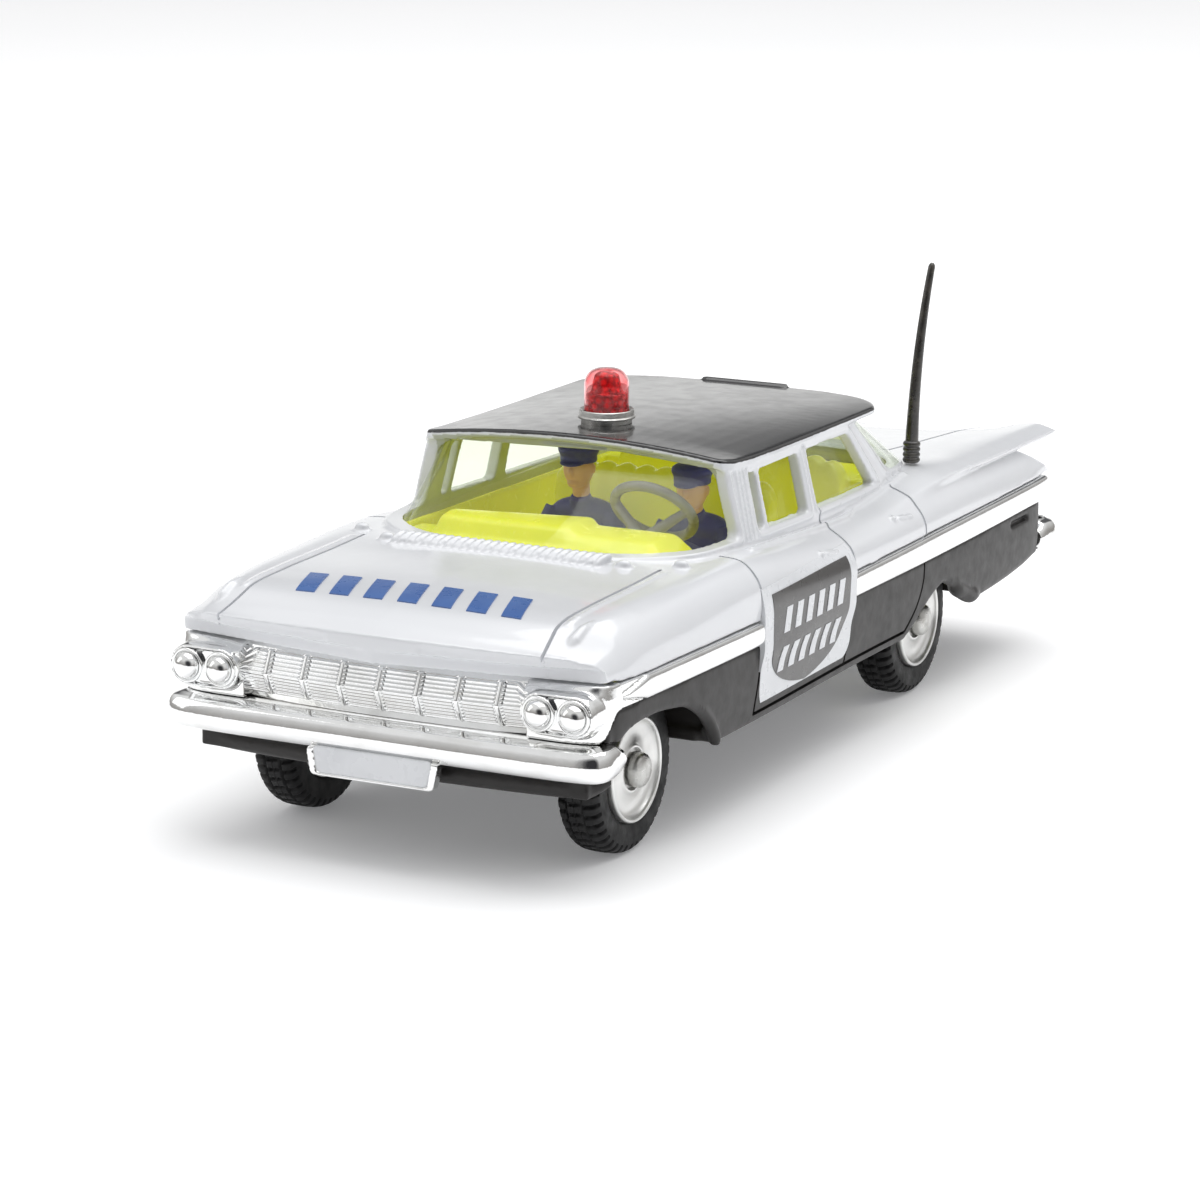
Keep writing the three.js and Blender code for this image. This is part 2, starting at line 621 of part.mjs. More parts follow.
// ---- Bumpers: one section carried along a line in plan ----
const BUMPER_LINE = [[0, -54.2], [8, -54.2], [14, -54.15], [19, -53.9], [21.2, -53.3], [22.1, -52.1],
  [22.1, -50.4], [21.7, -48.4]];
// [distance out from the line, height]
function bumperSection(depth) {
  return [[0, 11.6], [-0.3, 12.5], [-0.8, 13.1], [-depth, 13.1], [-depth, 9.8], [-0.8, 9.7], [-0.3, 10.5]];
}

function bumper(line, lift, depth) {
  const plan = [...line.map(([x, y]) => [-x, y]).reverse().slice(0, -1), ...line];
  const moved = bumperSection(depth).map(([out, z]) => offset(plan, out).map(([x, y]) => [x, y, z + lift]));
  return loft(plan.map((_, i) => moved.map((row) => row[i])), 1, 2);
}

function frontBumper() {
  const holder = prismX([[-54.3, 10.4], [-54.4, 7.9], [-53.2, 7.9], [-52.6, 10.4]], -6.6, 6.6);
  return join([bumper(BUMPER_LINE, 0, 1.9), holder]);
}

function rearBumper() {
  const line = BUMPER_LINE.map(([x, y]) => [x * 0.97, y - 0.2]);
  return solid(bumper(line, -0.2, 1.0).rotateZ(Math.PI));
}

const TAIL_LAMP = { x: 12.6, y: 48.4, z: 19.75, radii: [5.3, 1.7, 0.75], lean: -0.48 };

function tailLamp(side) {
  const eye = new THREE.SphereGeometry(1, 14, 8).scale(...TAIL_LAMP.radii).rotateX(TAIL_LAMP.lean);
  const lamp = solid(eye.translate(side * TAIL_LAMP.x, TAIL_LAMP.y, TAIL_LAMP.z));
  return lamp.intersect(solid(tailSpace(GAP, GAP)));
}

// ---- Cabin contents ----
const GLASS_OUTSET = -WALL - 0.07; // from the cabin's outside to the glazing's outside
const GLASS_INSET = -WALL - 0.6; // and to its inside

function glazing() {
  const outside = [level(22.5), level(BELT_Z), underRoof(0.2)];
  const inside = [level(22), level(22.5), level(BELT_Z), underRoof(0.2), underRoof(-0.4)];
  const shell = loft(outside.map((height) => cabinRing(height, GLASS_OUTSET)), 0, 1);
  const core = loft(inside.map((height) => cabinRing(height, GLASS_INSET)), 0, 1);
  return solid(shell).subtract(solid(core));
}

function interior() {
  const pieces = join([
    block(-12.5, 12.5, -27, 19, 9.9, 11),
    block(-12.5, 12.5, -27, -25.6, 10, 22.5),
    prismX([[-28, 21.5], [-28, 23.8], [-25, 24.5], [-20, 24.4], [-18.4, 23.2], [-18.4, 21.5]], -16, 16),
    block(-12, 12, -9, 0.2, 10.5, SEAT_Z),
    prismX([[0, 10.5], [0, 22], [0.8, 24.6], [2.4, 24.6], [3, 22], [3, 10.5]], -11.8, 11.8),
    block(-12, 12, 8, 15.2, 10.5, 14.8),
    prismX([[15, 10.5], [15, 22], [15.8, 24.2], [17.2, 24.2], [18, 22.4], [25, 22], [25, 21], [18.6, 21],
      [18.6, 10.5]], -12, 12),
  ]);
  return pieces.intersect(solid(cabinLoft(9, underRoof(0.5), -WALL - 0.75)));
}

const STEERING_CENTRE = new THREE.Vector3(7.6, -15.2, 25.2);
const STEERING_RADIUS = 3.9;
const STEERING_LEAN = -0.84; // from flat towards the driver, in radians

function steeringWheel() {
  const rim = new THREE.TorusGeometry(STEERING_RADIUS, 0.42, 6, 20);
  const spokes = new THREE.BoxGeometry(2 * STEERING_RADIUS, 0.7, 0.4);
  const lower = new THREE.BoxGeometry(0.7, STEERING_RADIUS, 0.4).translate(0, -STEERING_RADIUS / 2, 0);
  const column = new THREE.CylinderGeometry(0.5, 0.5, 3, 10).rotateX(Math.PI / 2).translate(0, 0, -1.2);
  return toGeometry(join([rim, spokes, lower, column]))
    .rotateX(STEERING_LEAN).translate(...STEERING_CENTRE.toArray());
}

function figure(x) {
  const torso = ball(x, FIGURE_Y + 1.2, 18.6, 3.3, 2.2, 4.6);
  const arms = bothSides((side) => ball(x + side * 2.9, FIGURE_Y + 0.6, 19.2, 1.0, 1.6, 3.2));
  const head = ball(x, FIGURE_Y, 25.3, 1.5, 1.65, 1.95);
  const neck = new THREE.CylinderGeometry(0.8, 0.9, 2.5, 12).rotateX(Math.PI / 2)
    .translate(x, FIGURE_Y + 0.5, 23.2);
  const cap = turned([[0, 26.4], [1.75, 26.4], [1.9, 27.6], [1.3, 28.2], [0, 28.3]], 16)
    .translate(x, FIGURE_Y, 0);
  const whole = join([torso, ...arms, neck, head, cap]);
  return cut(whole, [block(x - 6, x + 6, FIGURE_Y - 5, FIGURE_Y + 5, 10, SEAT_Z + GAP)]);
}

// ---- Roof beacon and aerial ----
const BEACON_RADIUS = 2.1;

function beaconRing() {
  const inner = BEACON_RADIUS + 0.1;
  const z = ROOF_AT_BEACON + GAP;
  return turned([[inner, z], [2.65, z], [2.7, z + 0.9], [2.5, z + 1.25], [inner, z + 1.25], [inner, z]], 20)
    .translate(0, BEACON_Y, 0);
}

function beaconLens() {
  const z = ROOF_AT_BEACON + GAP;
  const r = BEACON_RADIUS;
  const dome = steps(0, Math.PI / 2, 4).map((a) => [r * Math.cos(a), z + 3.4 + 1.75 * Math.sin(a)]);
  dome[dome.length - 1][0] = 0;
  return turned([[0, z], [r, z], ...dome], 20).translate(0, BEACON_Y, 0);
}

function aerial() {
  const bottom = AERIAL_SEAT_Z + GAP;
  const rod = (t) => [AERIAL_X + 0.7 * t * t, AERIAL_Y + 2.6 * t * t, mix(bottom, AERIAL_TIP_Z, t)];
  const radius = (t) => mix(0.7, 0.34, t);
  const ring = (t, r) => {
    const [x, y, z] = rod(t);
    return steps(0, 2 * Math.PI, 8).slice(0, -1).map((a) => [x + r * Math.cos(a), y + r * Math.sin(a), z]);
  };
  const ribs = [
    [0, 0.95], [0.03, 0.95], [0.045, 0.72], [0.06, 0.95], [0.075, 0.72], [0.09, 0.92], [0.105, 0.72],
  ];
  const stem = steps(0.16, 1, 9).map((t) => [t, radius(t)]);
  return loft([...ribs, ...stem].map(([t, r]) => ring(t, r)), 0, 1);
}

// ---- Wheels, axles and springs ----
function alongX(profile, segments) {
  return turned(profile, segments).rotateY(Math.PI / 2);
}

function tyre() {
  const r = WHEEL_RADIUS;
  const bore = HUB_RADIUS + 0.03;
  return alongX([[bore, TYRE_INNER_X], [r - 0.35, TYRE_INNER_X + 0.3],
    [r, TYRE_INNER_X + 0.8], [r, TYRE_OUTER_X - 0.8], [r - 0.35, TYRE_OUTER_X - 0.3],
    [bore, TYRE_OUTER_X], [bore, TYRE_INNER_X]], 32);
}

function hub() {
  const bore = AXLE_RADIUS + 0.08;
  return alongX([[bore, 13.6], [HUB_RADIUS, 13.6], [HUB_RADIUS, 17.4], [HUB_RADIUS - 0.2, 17.75],
    [HUB_RADIUS - 0.6, 17.5], [3.6, 16.7], [1.7, 16.5], [bore, 17.1], [bore, 13.6]], 20);
}

function axle() {
  const end = [[AXLE_HEAD_RADIUS, AXLE_HEAD_X], [AXLE_HEAD_RADIUS, AXLE_HEAD_X + 0.8],
    [AXLE_HEAD_RADIUS - 0.35, AXLE_HEAD_X + 1.2], [0, AXLE_HEAD_X + 1.45]];
  const start = [...end].reverse().map(([r, x]) => [r, -x]);
  return alongX([...start, [AXLE_RADIUS, -AXLE_HEAD_X], [AXLE_RADIUS, AXLE_HEAD_X], ...end], 16);
}

function leafSpring() {
  const low = WHEEL_RADIUS + AXLE_RADIUS + 0.08;
  const rise = (x) => low + 2.2 * (x / 9.2) ** 2;
  const line = steps(-9.2, 9.2, 10);
  const outline = [...line.map((x) => [x, rise(x)]), ...line.reverse().map((x) => [x, rise(x) + 0.35])];
  return loft([-1.3, 1.3].map((y) => outline.map(([x, z]) => [x, y, z])), 0, 2);
}

function rivet(y) {
  const z = lowerBottom(y - 2) - GAP;
  const shankTop = z + 4.5;
  return turned([[0, z - 0.7], [1.2, z - 0.55], [1.9, z], [RIVET_RADIUS, z], [RIVET_RADIUS, shankTop],
    [0, shankTop]], 12);
}

// ---- Assembly ----
const car = new THREE.Group();

function place(name, shape, material, position = [0, 0, 0]) {
  const geometry = shape.isBufferGeometry ? shape : toGeometry(shape);
  const mesh = new THREE.Mesh(geometry, material);
  mesh.name = name;
  mesh.position.set(...position);
  car.add(mesh);
  return mesh;
}

function placeWheelSet(end, axleY) {
  place(`${end}_axle`, axle(), FINISH.steel(), [0, axleY, WHEEL_RADIUS]);
  place(`${end}_spring`, leafSpring(), FINISH.steel(), [0, axleY, 0]);
  [['left', 0], ['right', Math.PI]].forEach(([side, turn]) => {
    const position = [0, axleY, WHEEL_RADIUS];
    place(`hub_${end}_${side}`, hub(), FINISH.steel(), position).rotation.z = turn;
    place(`tyre_${end}_${side}`, tyre(), FINISH.tyre(), position).rotation.z = turn;
  });
}

place('upper_body', upperBody(), FINISH.white());
place('lower_body', lowerBody(), FINISH.black());
place('chrome_trim', chromeTrim(), FINISH.chrome());
place('front_bumper', frontBumper(), FINISH.chrome());
place('rear_bumper', rearBumper(), FINISH.chrome());
place('tail_lamp_left', tailLamp(1), FINISH.lampRed());
place('tail_lamp_right', tailLamp(-1), FINISH.lampRed());
place('glazing', glazing(), FINISH.clear());
place('interior', interior(), FINISH.lime());
place('steering_wheel', steeringWheel(), FINISH.grey());
place('driver', figure(FIGURE_X), FINISH.navy());
place('passenger', figure(-FIGURE_X), FINISH.navy());
place('beacon_ring', beaconRing(), FINISH.steel());
place('beacon_lens', beaconLens(), FINISH.red());
place('aerial', aerial(), FINISH.aerial());
placeWheelSet('front', FRONT_AXLE_Y);
placeWheelSet('rear', REAR_AXLE_Y);
Object.entries(RIVET_YS).forEach(([end, y]) => place(`rivet_${end}`, rivet(y), FINISH.steel(), [0, y, 0]));

export default car;
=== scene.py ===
import math
import bpy
import numpy as np
from mathutils import Matrix, Vector


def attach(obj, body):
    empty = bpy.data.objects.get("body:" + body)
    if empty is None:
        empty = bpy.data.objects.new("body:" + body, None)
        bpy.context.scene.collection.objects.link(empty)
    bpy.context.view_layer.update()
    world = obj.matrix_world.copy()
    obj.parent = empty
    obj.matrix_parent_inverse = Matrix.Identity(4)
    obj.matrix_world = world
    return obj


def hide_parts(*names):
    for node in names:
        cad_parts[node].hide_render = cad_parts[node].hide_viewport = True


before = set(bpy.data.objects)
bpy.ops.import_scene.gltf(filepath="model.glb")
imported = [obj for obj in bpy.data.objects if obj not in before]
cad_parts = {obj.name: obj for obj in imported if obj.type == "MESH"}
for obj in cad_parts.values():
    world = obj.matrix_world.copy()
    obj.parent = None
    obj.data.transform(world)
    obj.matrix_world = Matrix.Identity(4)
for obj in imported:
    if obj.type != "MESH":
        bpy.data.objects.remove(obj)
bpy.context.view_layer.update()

# Every shape below is built in millimetres and scaled to metres when it becomes a piece.
MM = 0.001
FINE = 0.15

# ---- Numbers, lines and sections ----


def curve(points):
    """A smooth function through (position, value) pairs."""
    at, value = np.array(points, float).T
    slope = np.empty_like(value)
    slope[1:-1] = (value[2:] - value[:-2]) / (at[2:] - at[:-2])
    slope[0] = (value[1] - value[0]) / (at[1] - at[0])
    slope[-1] = (value[-1] - value[-2]) / (at[-1] - at[-2])

    def read(position):
        t = np.clip(position, at[0], at[-1])
        i = np.clip(np.searchsorted(at, t) - 1, 0, len(at) - 2)
        span = at[i + 1] - at[i]
        s = (t - at[i]) / span
        straight = value[i] + (value[i + 1] - value[i]) * s * s * (3 - 2 * s)
        leave = s * (1 - s) ** 2 * span * slope[i]
        arrive = s * s * (s - 1) * span * slope[i + 1]
        return straight + leave + arrive

    return read


def ease(value, start, end):
    """0 before start and 1 after end, smooth between them."""
    t = np.clip((value - start) / (end - start), 0, 1)
    return t * t * (3 - 2 * t)


def spline(points, count, crease=None, closed=False):
    """A smooth line through points along the first axis. A crease of 1 keeps a point's corner."""
    p = np.asarray(points, float)
    if closed:
        p = np.concatenate([p, p[:1]])
    step = p[1:] - p[:-1]
    length = np.linalg.norm(step, axis=-1, keepdims=True) + 1e-9
    unit = step / length
    inner = (step[1:] + step[:-1]) / (length[1:] + length[:-1])
    if closed:
        wrap = (step[:1] + step[-1:]) / (length[:1] + length[-1:])
        tangent = np.concatenate([wrap, inner, wrap])
    else:
        tangent = np.concatenate([unit[:1], inner, unit[-1:]])
    sharp = np.zeros(p.shape[:-1] + (1,)) if crease is None else np.asarray(crease, float)
    leave = tangent[:-1] + (unit - tangent[:-1]) * sharp[:-1]
    arrive = tangent[1:] + (unit - tangent[1:]) * sharp[1:]
    rows = []
    for u in np.arange(count) / count:
        blend = u * u * (3 - 2 * u)
        bend = u * (1 - u) ** 2 * leave - u * u * (1 - u) * arrive
        rows.append(p[:-1] + step * blend + bend * length)
    line = np.stack(rows, 1).reshape((-1,) + p.shape[1:])
    return line if closed else np.concatenate([line, p[-1:]])


def creases(*sharpness):
    """A spline's crease, from one number for each of its points."""
    return np.array(sharpness, float)[:, None]


def resample(line, gap):
    """Points about a gap apart along a line."""
    line = np.asarray(line, float)
    length = np.concatenate([[0], np.cumsum(np.linalg.norm(np.diff(line, axis=0), axis=1))])
    count = max(int(round(length[-1] / gap)), 1)
    at = np.linspace(0, length[-1], count + 1)
    return np.stack([np.interp(at, length, axis) for axis in line.T], -1)


def rounded(corners, radius, gap=0.5):
    """A closed outline with its corners rounded and its edges divided."""
    corners = np.asarray(corners, float)
    outline = []
    for i, corner in enumerate(corners):
        before, after = corners[i - 1] - corner, corners[(i + 1) % len(corners)] - corner
        reach = min(radius, 0.48 * np.linalg.norm(before), 0.48 * np.linalg.norm(after))
        start = corner + before / np.linalg.norm(before) * reach
        end = corner + after / np.linalg.norm(after) * reach
        for t in np.linspace(0, 1, 6):
            outline.append((1 - t) ** 2 * start + 2 * t * (1 - t) * corner + t * t * end)
    outline = np.array(outline + outline[:1])
    return resample(outline, gap)[:-1]


# ---- Meshes ----


def new_object(name, points, faces):
    mesh = bpy.data.meshes.new(name)
    mesh.from_pydata(np.asarray(points, float).tolist(), [], faces)
    thing = bpy.data.objects.new(name, mesh)
    bpy.context.scene.collection.objects.link(thing)
    return thing


def signed_volume(points, faces):
    """Volume inside faces of one size, up to a positive factor. Negative when they point inwards."""
    a = points[faces[:, :1]]
    b, c = points[faces[:, 1:-1]], points[faces[:, 2:]]
    return (np.cross(b, c) * a).sum()


def loft(name, rings, loop=False):
    """A closed skin over rings of points. A loop joins its last ring to its first."""
    rings = np.asarray(rings, float)
    count, size = rings.shape[:2]
    points = rings.reshape(-1, 3)
    index = np.arange(count * size).reshape(count, size)
    across = np.roll(index, -1, axis=1)
    along = np.roll(index, -1, axis=0)
    diagonal = np.roll(across, -1, axis=0)
    quads = np.stack([index, across, diagonal, along], -1)
    quads = quads if loop else quads[:-1]
    faces = quads.reshape(-1, 4)
    ends = np.zeros((0, size), int) if loop else np.stack([index[0, ::-1], index[-1]])
    middle = points - points.mean(0)
    if signed_volume(middle, faces) + signed_volume(middle, ends) < 0:
        faces, ends = faces[:, ::-1], ends[:, ::-1]
    faces = faces.tolist() + ends.tolist()
    return new_object(name, points, faces)


def prism(outline, axis, low, high, name="prism"):
    """A closed outline pushed along an axis. The outline holds the other two coordinates in order."""
    outline = np.asarray(outline, float)
    rings = [np.insert(outline, axis, level, axis=1) for level in (low, high)]
    return loft(name, rings)


def block(x0, x1, y0, y1, z0, z1):
    return prism([(x0, y0), (x1, y0), (x1, y1), (x0, y1)], 2, z0, z1)


def tube(path, radius, sides=10, loop=False):
    """A rod along a path. Its radius may change along it."""
    path = np.asarray(path, float)
    radii = np.broadcast_to(radius, (len(path),))
    ahead = np.roll(path, -1, 0) - np.roll(path, 1, 0)
    if not loop:
        ahead[0], ahead[-1] = path[1] - path[0], path[-1] - path[-2]
    ahead /= np.linalg.norm(ahead, axis=1, keepdims=True)
    guide = np.array([0, 0, 1.0]) if np.abs(ahead[:, 2]).max() < 0.98 else np.array([0.3, 1.0, 0])
    across = np.cross(ahead, guide)
    across /= np.linalg.norm(across, axis=1, keepdims=True)
    up = np.cross(across, ahead)
    angle = np.arange(sides) * 2 * math.pi / sides
    cosine, sine = np.cos(angle)[:, None], np.sin(angle)[:, None]
    circle = cosine * across[:, None] + sine * up[:, None]
    return loft("tube", path[:, None] + circle * radii[:, None, None], loop)


def lathe(profile, segments=64):
    """A profile of (radius, height) points turned about Z. A radius of 0 closes the end."""
    profile = np.asarray(profile, float)
    angle = np.arange(segments) * 2 * math.pi / segments
    radius = np.maximum(profile[:, 0], 1e-3)
    rings = np.stack([
        radius[:, None] * np.cos(angle), radius[:, None] * np.sin(angle),
        np.broadcast_to(profile[:, 1:], (len(profile), segments))], -1)
    loop = np.allclose(profile[0], profile[-1])
    return loft("lathe", rings[:-1] if loop else rings, loop)


def dome(centre, radii, turn=0.0, rows=20, segments=40):
    """An egg shape round a centre, tilted by a turn about X."""
    angle = np.linspace(0, math.pi, rows)
    thing = lathe(np.stack([np.sin(angle), -np.cos(angle)], -1), segments)
    place = Matrix.Translation(centre) @ Matrix.Rotation(turn, 4, "X") @ Matrix.Diagonal((*radii, 1))
    thing.data.transform(place)
    return thing


def moved(thing, matrix):
    """Carries a shape's points along, and turns its faces over again if the matrix mirrors them."""
    thing.data.transform(matrix)
    if matrix.determinant() < 0:
        thing.data.flip_normals()
    return thing


def copied(thing, matrix):
    twin = thing.copy()
    twin.data = thing.data.copy()
    bpy.context.scene.collection.objects.link(twin)
    return moved(twin, matrix)


MIRROR = Matrix.Diagonal((-1, 1, 1, 1))


def settle(thing):
    """Turns an object's modifiers into its mesh."""
    graph = bpy.context.evaluated_depsgraph_get()
    mesh = bpy.data.meshes.new_from_object(thing.evaluated_get(graph))
    thing.modifiers.clear()
    spare = thing.data
    thing.data = mesh
    bpy.data.meshes.remove(spare)
    return thing


def boolean(thing, operation, others):
    for other in others:
        step = thing.modifiers.new("step", "BOOLEAN")
        step.solver = "MANIFOLD"
        step.operation = operation
        step.object = other
    settle(thing)
    for other in others:
        bpy.data.objects.remove(other)
    return thing


def together(name, things):
    """One object that holds several closed shells, which may overlap."""
    points, faces, start = [], [], 0
    for thing in things:
        mesh = thing.data
        points += [tuple(v.co) for v in mesh.vertices]
        faces += [[start + i for i in face.vertices] for face in mesh.polygons]
        start += len(mesh.vertices)
        bpy.data.objects.remove(thing)
    return new_object(name, points, faces)


def soften(thing, size, passes=4):
    """Melts overlapping shells into one skin with softened edges, as paint or plating leaves them."""
    skin = thing.modifiers.new("skin", "REMESH")
    skin.mode = "VOXEL"
    skin.voxel_size = size
    relax = thing.modifiers.new("relax", "SMOOTH")
    relax.factor = 0.5
    relax.iterations = passes
    return settle(thing)


def coordinates(thing):
    flat = np.empty(len(thing.data.vertices) * 3)
    thing.data.vertices.foreach_get("co", flat)
    return flat.reshape(-1, 3)


def mark(thing, name, values):
    """Stores a number at each vertex, which a material reads."""
    layer = thing.data.attributes.new(name, "FLOAT", "POINT")
    layer.data.foreach_set("value", np.ascontiguousarray(values, dtype=np.float32))


def piece(thing, name, material, body="root", replaces=(), crisp=None):
    """Makes a finished shape part of the model."""
    thing.name = name
    thing.data.transform(Matrix.Scale(MM, 4))
    thing.data.shade_smooth()
    if crisp is not None:
        thing.data.set_sharp_from_angle(angle=math.radians(crisp))
    thing.data.materials.clear()
    thing.data.materials.append(material)
    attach(thing, body)
    if replaces:
        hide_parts(*replaces)
    return thing


# ---- Materials ----


class Finish:
    """A material with one Principled shader and a few procedural helpers."""

    def __init__(self, name, colour, **sockets):
        self.material = bpy.data.materials.new(name)
        self.material.use_nodes = True
        self.tree = self.material.node_tree
        self.shader = self.tree.nodes["Principled BSDF"]
        self.shader.inputs["Base Color"].default_value = (*colour, 1)
        self.colour = colour
        self.heights = []
        for key, value in sockets.items():
            self.shader.inputs[key.replace("_", " ")].default_value = value

    def node(self, kind, settings=(), **inputs):
        node = self.tree.nodes.new("ShaderNode" + kind)
        for key, value in dict(settings).items():
            setattr(node, key, value)
        for key, value in inputs.items():
            socket = node.inputs[key.replace("_", " ")]
            if isinstance(value, bpy.types.NodeSocket):
                self.tree.links.new(value, socket)
            else:
                socket.default_value = value
        return node

    def place(self, stretch=(1, 1, 1)):
        coords = self.node("TexCoord").outputs["Object"]
        return self.node("Mapping", Vector=coords, Scale=stretch).outputs["Vector"]

    def noise(self, scale, detail, stretch=(1, 1, 1)):
        return self.node("TexNoise", Vector=self.place(stretch), Scale=scale, Detail=detail).outputs["Fac"]

    def cells(self, scale):
        return self.node("TexVoronoi", Vector=self.place(), Scale=scale).outputs["Distance"]

    def math(self, operation, a, b=0.0):
        node = self.node("Math", {"operation": operation})
        for socket, value in zip(node.inputs, (a, b)):
            if isinstance(value, bpy.types.NodeSocket):
                self.tree.links.new(value, socket)
            else:
                socket.default_value = value
        return node.outputs[0]

    def ranged(self, value, low, high, to_low=0.0, to_high=1.0):
        node = self.node("MapRange", Value=value)
        for key, number in zip(("From Min", "From Max", "To Min", "To Max"), (low, high, to_low, to_high)):
            node.inputs[key].default_value = number
        return node.outputs["Result"]

    def mix(self, amount, a, b):
        node = self.node("Mix", {"data_type": "RGBA"})
        self.tree.links.new(amount, node.inputs[0])
        for socket, value in zip((node.inputs[6], node.inputs[7]), (a, b)):
            if isinstance(value, bpy.types.NodeSocket):
                self.tree.links.new(value, socket)
            else:
                socket.default_value = (*value, 1)
        return node.outputs[2]

    def attribute(self, name):
        return self.node("Attribute", {"attribute_name": name}).outputs["Fac"]

    def tint(self, amount, other):
        """Fades the base colour towards another by an amount."""
        now = self.shader.inputs["Base Color"]
        base = now.links[0].from_socket if now.links else self.colour
        self.tree.links.new(self.mix(amount, base, other), now)
        return self

    def speckle(self, scale, detail, span, other, stretch=(1, 1, 1)):
        """Fades the base colour towards another as a noise goes from one end of a span to the other."""
        return self.tint(self.ranged(self.noise(scale, detail, stretch), *span), other)

    def sheen(self, scale, detail, span, rough):
        """A roughness that goes from rough's first value to its second as a noise crosses a span."""
        value = self.ranged(self.noise(scale, detail), *span, *rough)
        self.tree.links.new(value, self.shader.inputs["Roughness"])
        return self

    def bump(self, height, distance, strength=1.0):
        """Adds a relief of a height in metres."""
        normal = {"Normal": self.heights[-1]} if self.heights else {}
        node = self.node("Bump", Height=height, Distance=distance, Strength=strength, **normal)
        self.heights.append(node.outputs["Normal"])
        self.tree.links.new(node.outputs["Normal"], self.shader.inputs["Normal"])
        return self

    def grain(self, scale, detail, distance, strength, stretch=(1, 1, 1)):
        """Adds a relief that follows a noise."""
        return self.bump(self.noise(scale, detail, stretch), distance, strength)


WHITE = (0.72, 0.732, 0.758)
ROOF_BLACK = (0.012, 0.012, 0.013)
SATIN_BLACK = (0.019, 0.0175, 0.017)
LIME = (0.69, 0.68, 0.035)


def white_paint():
    paint = Finish("white enamel with black roof", WHITE, Coat_Weight=0.6, Coat_Roughness=0.04)
    paint.speckle(70, 4, (0.35, 0.75), (0.695, 0.71, 0.738))
    edge = paint.math("ADD", paint.attribute("roof"), paint.ranged(paint.noise(1400, 3), 0, 1, -0.35, 0.35))
    black = paint.ranged(edge, 0.4, 0.6)
    paint.tint(black, ROOF_BLACK)
    # Painted shade and painted green reflection: the inner faces under the roof and the sill below the
    # windscreen are darkened to olive grey.
    paint.tint(paint.attribute("inside"), (0.42, 0.44, 0.36))
    paint.sheen(500, 3, (0.3, 0.7), (0.16, 0.26))
    paint.grain(420, 3, 0.00004, 0.12)
    return paint.material


def black_paint():
    paint = Finish("satin black enamel", SATIN_BLACK, Coat_Weight=0.05, Coat_Roughness=0.2,
                   Specular_IOR_Level=0.28)
    paint.speckle(160, 4, (0.4, 0.75), (0.026, 0.024, 0.023))
    paint.sheen(700, 4, (0.3, 0.7), (0.34, 0.46))
    paint.grain(1500, 3, 0.00003, 0.4)
    return paint.material


def plating(name="plated plastic", rough=(0.07, 0.15)):
    metal = Finish(name, (0.9, 0.905, 0.905), Metallic=1.0)
    metal.speckle(260, 4, (0.45, 0.8), (0.77, 0.77, 0.76))
    metal.speckle(700, 3, (0.55, 0.85), (0.72, 0.715, 0.69), (0.15, 0.03, 1))
    metal.sheen(900, 4, (0.35, 0.7), rough)
    metal.grain(330, 2, 0.00005, 0.5)
    metal.grain(2600, 2, 0.00001, 0.5)
    return metal.material


def spun_metal(name="spun wheel metal"):
    metal = Finish(name, (0.80, 0.80, 0.785), Metallic=1.0)
    metal.speckle(420, 5, (0.45, 0.75), (0.66, 0.66, 0.65))
    metal.sheen(900, 5, (0.3, 0.7), (0.3, 0.46))
    metal.grain(2600, 3, 0.000015, 0.4, (0.15, 1, 1))
    metal.grain(500, 3, 0.00002, 0.4)
    return metal.material


def turned_steel():
    metal = Finish("turned steel", (0.6, 0.6, 0.58), Metallic=1.0)
    metal.speckle(700, 5, (0.4, 0.7), (0.36, 0.35, 0.33))
    metal.sheen(1500, 4, (0.3, 0.7), (0.22, 0.45))
    metal.grain(2200, 3, 0.00004, 0.6, (1, 1, 6))
    return metal.material


def rubber():
    skin = Finish("tyre rubber", (0.008, 0.008, 0.0085), Specular_IOR_Level=0.35)
    skin.speckle(600, 5, (0.5, 0.8), (0.018, 0.0175, 0.017))
    skin.sheen(900, 4, (0.3, 0.7), (0.42, 0.68))
    skin.grain(2400, 4, 0.00006, 0.5)
    return skin.material


def moulding(name, colour, shade, rough=(0.22, 0.36), glow=0.0, painted_glow=0.0):
    """Moulded plastic. glow is how far light spreads inside it; the last argument is an emission in the
    plastic's own colour, a painted glow that brightens it though it is no lamp.
    """
    plastic = Finish(name, colour, Subsurface_Weight=glow, Subsurface_Scale=0.002,
                     Emission_Color=(*colour, 1), Emission_Strength=painted_glow)
    plastic.speckle(240, 4, (0.4, 0.75), shade)
    plastic.sheen(800, 3, (0.3, 0.7), rough)
    plastic.grain(1400, 3, 0.00003, 0.4)
    return plastic.material


def clear_plastic():
    """Thin clear moulding: what is behind shows straight through, with a reflection on top."""
    glass = Finish("clear moulding", (0.96, 0.98, 0.97), Metallic=1.0)
    glass.sheen(300, 2, (0.3, 0.7), (0.02, 0.05))
    glass.grain(140, 2, 0.0001, 0.4)
    see = glass.node("BsdfTransparent", Color=(0.965, 0.98, 0.945, 1))
    slant = glass.node("LayerWeight", Blend=0.5).outputs["Facing"]
    amount = glass.ranged(glass.math("POWER", slant, 5.0), 0, 1, 0.02, 0.7)
    layers = glass.node("MixShader", Fac=amount)
    glass.tree.links.new(see.outputs[0], layers.inputs[1])
    glass.tree.links.new(glass.shader.outputs[0], layers.inputs[2])
    glass.tree.links.new(layers.outputs[0], glass.tree.nodes["Material Output"].inputs["Surface"])
    return glass.material


def beacon_shell():
    lens = Finish("beacon dome", (1.0, 0.62, 0.62), Transmission_Weight=1.0, IOR=1.25)
    lens.speckle(900, 3, (0.4, 0.8), (1.0, 0.3, 0.32))
    lens.sheen(900, 3, (0.3, 0.7), (0.02, 0.07))
    lens.grain(500, 2, 0.00003, 0.5)
    return lens.material


